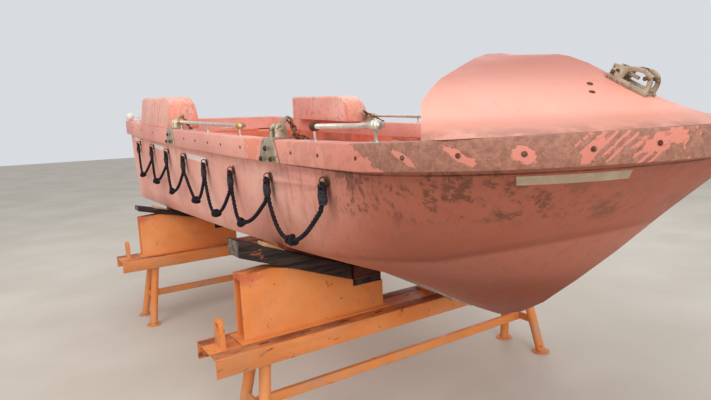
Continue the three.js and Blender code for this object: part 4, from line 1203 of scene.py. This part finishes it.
def add_band_fasteners():
    places = []
    for _, sign in SIDES:
        for (x, y, z), (nx, ny, nz) in BAND_BOLTS:
            places.append(stand((x, -sign * y, z), (nx, -sign * ny, nz)))
    set_out("band_bolts", dome_head(0.0060, 0.0045), places, "rusty_steel")
    places = []
    for _, sign in SIDES:
        for x in BAND_SCREWS:
            places.append(stand((x, sign * (band_half(x) + 0.0003), band_top(x) - 0.052), (0, sign, 0)))
    set_out("band_screws", dome_head(0.0055, 0.0035), places, "rusty_steel")


# Clamp places of the grab rails along the boat, with the rail's rise there
CLAMPS = [
    ("brass", 0.601, 0.056),
    ("brass", -0.605, 0.056),
    ("brown_iron", 1.467, 0.062),
    ("rail_steel", 1.913, 0.062),
]
# Posts of the grab rails along the boat, and how far the rails stand in from the band's edge
POST_X = [-0.605, 0.023, 0.601, 1.467, 1.913]
RAIL_IN = 0.062


def add_rail_parts():
    """Split clamps with a pinch bolt round the rail ends, and the screws of the post feet."""
    for order, (finish, x, rise) in enumerate(CLAMPS):
        shell = bevelled(disc("clamp", (0, 0, 0), 0.0195, 0.040, "X", 24), 0.003, 2)
        ears = bevelled(block("ears", (-0.016, -0.032, -0.009), (0.016, -0.012, 0.009)), 0.0025, 2)
        bolt = hex_head(0.006, 0.005)
        shifted(bolt, 0, -0.024, 0.009)
        groove = bevelled(disc("groove", (0, 0, 0), 0.0212, 0.010, "X", 24), 0.002, 2)
        model = smooth(joined("clamp", [shell, ears, groove, bolt]), 40)
        places = []
        for _, sign in SIDES:
            y = sign * (band_half(x) - RAIL_IN)
            places.append(Matrix.Translation((x, y, band_top(x) + rise)) @ to_side(sign))
        set_out("rail_clamps_" + str(order), model, places, finish)
    places = []
    for _, sign in SIDES:
        for x in POST_X:
            y = sign * (band_half(x) - RAIL_IN)
            for degrees in (60, 180, 300):
                angle = math.radians(degrees)
                spot = (x + 0.0145 * math.cos(angle), y + 0.0145 * math.sin(angle), band_top(x) + 0.005)
                places.append(stand(spot))
    set_out("post_screws", dome_head(0.0032, 0.002), places, "bolt_steel")


def on_hood(along, across, up):
    """A place in the frame of the painter release: along the hood's slope, across it and off it."""
    lean = math.radians(RELEASE_SEAT["slope"])
    x = RELEASE_SEAT["x"] + along * math.cos(lean) + up * math.sin(lean)
    return (x, across, RELEASE_SEAT["z"] - along * math.sin(lean) + up * math.cos(lean))


def add_release_parts():
    """Hinge block, spring rod and bolts of the painter release."""
    seat = Matrix.Translation((RELEASE_SEAT["x"], 0, RELEASE_SEAT["z"]))
    tilt = seat @ Matrix.Rotation(math.radians(RELEASE_SEAT["slope"]), 4, "Y")
    hinge = bevelled(block("hinge", (-0.079, -0.0305, 0.0085), (-0.058, 0.0305, 0.030)), 0.003, 2)
    pin = disc("pin", (-0.052, 0, 0.034), 0.0055, 0.076, "Y", 16)
    rod = disc("rod", (0.060, 0, 0.052), 0.0045, 0.070, "Y", 14)
    nuts = []
    for sign in (-1, 1):
        nut = disc("nut", (0.060, sign * 0.0335, 0.052), 0.009, 0.007, "Y", 6)
        nuts.append(bevelled(nut, 0.001, 1))
    whole = smooth(joined("release_parts", [hinge, pin, rod, *nuts]), 40)
    set_out("release_parts", whole, [tilt], "rusty_steel")
    places = []
    for along in (-0.072, 0.080):
        for across in (-0.014, 0.014):
            places.append(stand(on_hood(along, across, 0.008), (0.515, 0, 0.857)))
    set_out("release_bolts", hex_head(0.0055, 0.004), places, "bolt_steel")
    marks = [
        stand((2.264, -0.139, 1.7945), (0.46, -0.22, 0.86)),
        stand((2.305, -0.187, 1.7615), (0.44, -0.19, 0.88)),
    ]
    set_out("hood_studs", dome_head(0.008, 0.004), marks, "rusty_steel")


def weld_bead(length, radius):
    """A rippled weld bead along Y, lying in a corner at the origin."""
    deselect()
    turn = (math.pi / 2, 0, 0)
    bpy.ops.mesh.primitive_cylinder_add(vertices=10, radius=radius, depth=length, rotation=turn)
    bead = added("weld_bead")
    cuts = int(length / 0.009)
    edit_all()
    for i in range(1, cuts):
        cut((0, -length / 2 + length * i / cuts, 0), (0, 1, 0))
    leave_edit()
    for vertex in bead.data.vertices:
        ripple = 1 + 0.16 * math.sin(vertex.co.y * 700) + 0.1 * math.sin(vertex.co.y * 173 + 1)
        vertex.co.x *= ripple
        vertex.co.z *= ripple
    return smooth(bead, 70)


def add_trestle_parts():
    """Weld beads of the pedestals, of the lugs and at both ends of each leg."""
    corners = [(x, sign) for x in TRESTLE_X.values() for _, sign in SIDES]
    beads = []
    for x, sign in corners:
        for along in (-0.0765, 0.0315):
            beads.append(Matrix.Translation((x + along, sign * 0.643, 0.6095)))
    set_out("base_welds", weld_bead(0.86, 0.0045), beads, "trestle_paint")
    beads = []
    for x, sign in corners:
        for edge in (-0.0135, 0.0135):
            beads.append(Matrix.Translation((x, sign * (1.200 + edge), 0.600)) @ quarter_turn())
    set_out("lug_welds", weld_bead(0.090, 0.0042), beads, "trestle_paint")
    collars = []
    for x, sign in corners:
        for way in (-1, 1):
            top = Vector((x + way * 0.0818, sign * 1.0015, 0.4890))
            foot = Vector((x + way * 0.171, sign * 1.077, 0.008))
            collars.append(stand(top, foot - top))
            collars.append(stand(foot + (top - foot).normalized() * 0.010, top - foot))
    deselect()
    bpy.ops.mesh.primitive_torus_add(
        major_radius=0.0315, minor_radius=0.0045, major_segments=36, minor_segments=8
    )
    ring = added("leg_weld")
    for order, vertex in enumerate(ring.data.vertices):
        vertex.co.z *= 1 + 0.25 * math.sin(order * 1.7)
    set_out("leg_welds", smooth(ring, 70), collars, "trestle_paint")


# How steep the timbers lie, their top at one half breadth, and the tips of the wedges on them
TIMBER = {"forward": (0.3622, 0.8963), "aft": (0.2376, 0.8967)}
TIMBER_Y = 0.43
WEDGE_Y = 0.829


def add_wedges():
    """A pale wedge driven between each timber and the bottom, outboard of the packing."""
    for name, x in TRESTLE_X.items():
        slope, start = TIMBER[name]
        for side, sign in SIDES:
            wedge = block("wedge", (-0.048, 0, 0.0004), (0.030, 0.125, 0.021))
            edit_all()
            cut((0, 0, 0.005), (0, -0.118, 1), clear_outer=True, use_fill=True)
            leave_edit()
            smooth(bevelled(wedge, 0.0015, 2), 35)
            tip = Matrix.Translation((x, WEDGE_Y, start + slope * (WEDGE_Y - TIMBER_Y)))
            lean = Matrix.Rotation(math.atan(slope), 4, "X")
            wedge.data.transform(Matrix.Scale(sign, 4, (0, 1, 0)) @ tip @ lean)
            if sign < 0:
                wedge.data.flip_normals()
            wedge.name = label("wedge", name, side)
            dressed(wedge, FINISHES["pale_wood"])


def hinge_leaf(knuckles):
    """A leaf lying along X behind its axis, with every second knuckle of the barrel on the axis."""
    leaf = bevelled(block("leaf", (-0.034, -0.036, -0.0005), (0.034, -0.004, 0.0022)), 0.0009, 1)
    parts = [leaf]
    for start in knuckles:
        barrel = disc("barrel", (start + 0.0065, 0, 0.001), 0.0052, 0.0127, "X", 16)
        parts.append(bevelled(barrel, 0.0006, 1))
    for along in (-0.020, 0.020):
        parts.append(shifted(dome_head(0.0038, 0.002), along, -0.022, 0.0022))
    return smooth(joined("leaf", parts), 35)


# The bench lids: fall per metre forward, and where their middle lies
BENCH_FALL = 0.03
BENCH_X = 0.155
LID_KNUCKLES = (-0.034, -0.0068, 0.0204)


def add_lid_parts():
    """Hinge leaves along the lids' hinge edges and a folding handle on each lid."""
    slope = Matrix.Rotation(math.atan(BENCH_FALL), 4, "Y")
    for side, sign in SIDES:
        places = []
        for x in (-0.14, 0.155, 0.45):
            z = 1.5254 - BENCH_FALL * (x - BENCH_X)
            places.append(Matrix.Translation((x, sign * 0.771, z + 0.001)) @ slope @ to_side(sign))
        leaf = hinge_leaf(LID_KNUCKLES)
        set_out("bench_hinges_" + side, leaf, places, "rail_steel", body=side + "_bench_lid")
    places = [Matrix.Translation((-2.56, y, 1.7081)) @ quarter_turn() for y in (-0.22, 0.22)]
    set_out("stern_hinges", hinge_leaf(LID_KNUCKLES), places, "rail_steel", body="stern_lid")
    for side, sign in SIDES:
        spot = Matrix.Translation((BENCH_X, sign * 0.500, 1.5262)) @ slope
        name = "bench_lid_handle_" + side
        set_out(name, lid_handle(), [spot], "rail_steel", body=side + "_bench_lid")
    spot = Matrix.Translation((-2.125, 0, 1.7073)) @ quarter_turn()
    set_out("stern_lid_handle", lid_handle(), [spot], "rail_steel", body="stern_lid")


def lid_handle():
    """A drop ring on a small plate, lying folded on the lid along X."""
    plate = bevelled(block("plate", (-0.042, -0.024, 0), (0.042, 0.024, 0.0025)), 0.001, 1)
    ring = shifted(oval_link(0.062, 0.034, 0.006), 0, 0.002, 0.0055)
    barrel = bevelled(disc("barrel", (0, -0.014, 0.0055), 0.0048, 0.026, "X", 14), 0.0006, 1)
    return smooth(joined("handle", [plate, ring, barrel]), 40)


def add_stern_parts():
    """The white knob on the starboard quarter."""
    x = -2.232
    foot = (x, -(band_half(x) - 0.045), band_top(x) + 0.0006)
    knob = bevelled(disc("knob", (0, 0, 0.030), 0.011, 0.060, "Z", 20), 0.003, 2)
    cap = bevelled(disc("cap", (0, 0, 0.056), 0.018, 0.014, "Z", 20), 0.004, 3)
    base = bevelled(disc("base", (0, 0, 0.003), 0.022, 0.006, "Z", 20), 0.0015, 2)
    whole = smooth(joined("quarter_knob", [knob, cap, base]), 40)
    set_out("quarter_knob", whole, [stand(foot)], "light_white")


# Plain eye plates on the hull's skin: half thickness, half height, and depth from the eye inward
EYE_PLATE = {"thick": 0.0045, "high": 0.030, "deep": 0.0245}


def renew_eyes():
    """Oval steel eyes on round pads take the place of the plain plates on the hull's skin."""
    skin = bpy.data.objects["hull_skin"]

    def on_plate(face):
        centre = face.center
        return any(
            abs(centre.x - x) < EYE_PLATE["thick"]
            and abs(centre.z - z) < EYE_PLATE["high"]
            and abs(centre.y) > y - EYE_PLATE["deep"]
            for x, y, z in LINE_EYES
        )

    edit_faces(skin, on_plate)
    bpy.ops.mesh.delete(type="FACE")
    bpy.ops.mesh.select_mode(type="EDGE")
    bpy.ops.mesh.select_all(action="DESELECT")
    bpy.ops.mesh.select_non_manifold()
    bpy.ops.mesh.fill_holes(sides=0)
    leave_edit()
    smooth(skin, 32)
    places = []
    for _, sign in SIDES:
        for x, y, z in LINE_EYES:
            places.append(stand((x, sign * (y - 0.026), z), (0, sign, 0)))
    pad = bevelled(disc("pad", (0, 0, 0.0018), 0.024, 0.0040, sides=28), 0.0012, 2)
    ring = oval_link(0.050, 0.038, 0.0062, 14)
    upright = quarter_turn("Y") @ quarter_turn()
    ring.data.transform(Matrix.Translation((0, 0, 0.0215)) @ upright)
    model = smooth(joined("line_eye", [pad, ring]), 45)
    eyes = set_out("line_eyes", model, places, "rusty_steel")
    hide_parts("hull")


def line_hull():
    """The hull's inner walls and floor as a piece of their own, in the colour of the liner."""
    skin = bpy.data.objects["hull_skin"]

    def inner(face):
        centre, way = face.center, face.normal
        floor = way.z > 0.8 and centre.z < 1.45
        looks_aft = way.x < -0.15 and centre.x > -2.6 and centre.z > 1.14
        looks_forward = way.x > 0.5 and centre.x < -2.0
        looks_inward = way.y * centre.y < 0 and abs(way.y) > 0.2 and abs(centre.y) > 0.05
        return floor or looks_aft or looks_forward or looks_inward

    edit_faces(skin, inner)
    bpy.ops.mesh.separate(type="SELECTED")
    leave_edit()
    liner = next(item for item in bpy.context.selected_objects if item != skin)
    liner.name = "hull_liner"
    liner.data.name = "hull_liner"
    dressed(liner, FINISHES["liner_orange"])
    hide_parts("hull")


add_bracket_parts()
add_band_fasteners()
add_rail_parts()
add_release_parts()
add_trestle_parts()
add_wedges()
add_lid_parts()
add_stern_parts()
renew_eyes()
line_hull()


# Floor and soft studio light


def floor_finish():
    f = Finish("studio_floor", roughness=0.9, specular=0.2)
    tone = f.patchy(0.3, 0.7, 0.8, 4)
    f.colour(f.blend(tone, srgb(196, 187, 174), srgb(206, 198, 186)))
    return f.material


def add_floor():
    deselect()
    bpy.ops.mesh.primitive_plane_add(size=80, location=(0, 0, -0.0005))
    floor = added("floor")
    floor.data.materials.append(floor_finish())


def add_light(name, place, target, size, power, tone=(1, 1, 1)):
    data = bpy.data.lights.new(name, "AREA")
    data.shape = "DISK"
    data.size = size
    data.energy = power
    data.color = tone
    light = bpy.data.objects.new(name, data)
    bpy.context.scene.collection.objects.link(light)
    aim = (Vector(target) - Vector(place)).to_track_quat("-Z", "Y")
    light.matrix_world = Matrix.Translation(place) @ aim.to_matrix().to_4x4()
    light.visible_camera = False


def add_studio():
    add_floor()
    world = bpy.data.worlds.new("studio")
    bpy.context.scene.world = world
    world.use_nodes = True
    world.node_tree.nodes["Background"].inputs["Color"].default_value = (0.86, 0.89, 0.93, 1)
    world.node_tree.nodes["Background"].inputs["Strength"].default_value = 0.80
    add_light("key", (1.5, -6.5, 7.0), (0.3, 0, 1.0), 6, 230, (1.0, 0.98, 0.95))
    add_light("sky", (0, 0, 9), (0, 0, 0), 9, 110)
    add_light("fill", (15.0, -3.0, 6.6), (1.5, 0, 1.2), 8, 1050)
    add_light("rim", (-5.0, 6.0, 5.0), (0, 0, 1.0), 4, 120)


add_studio()
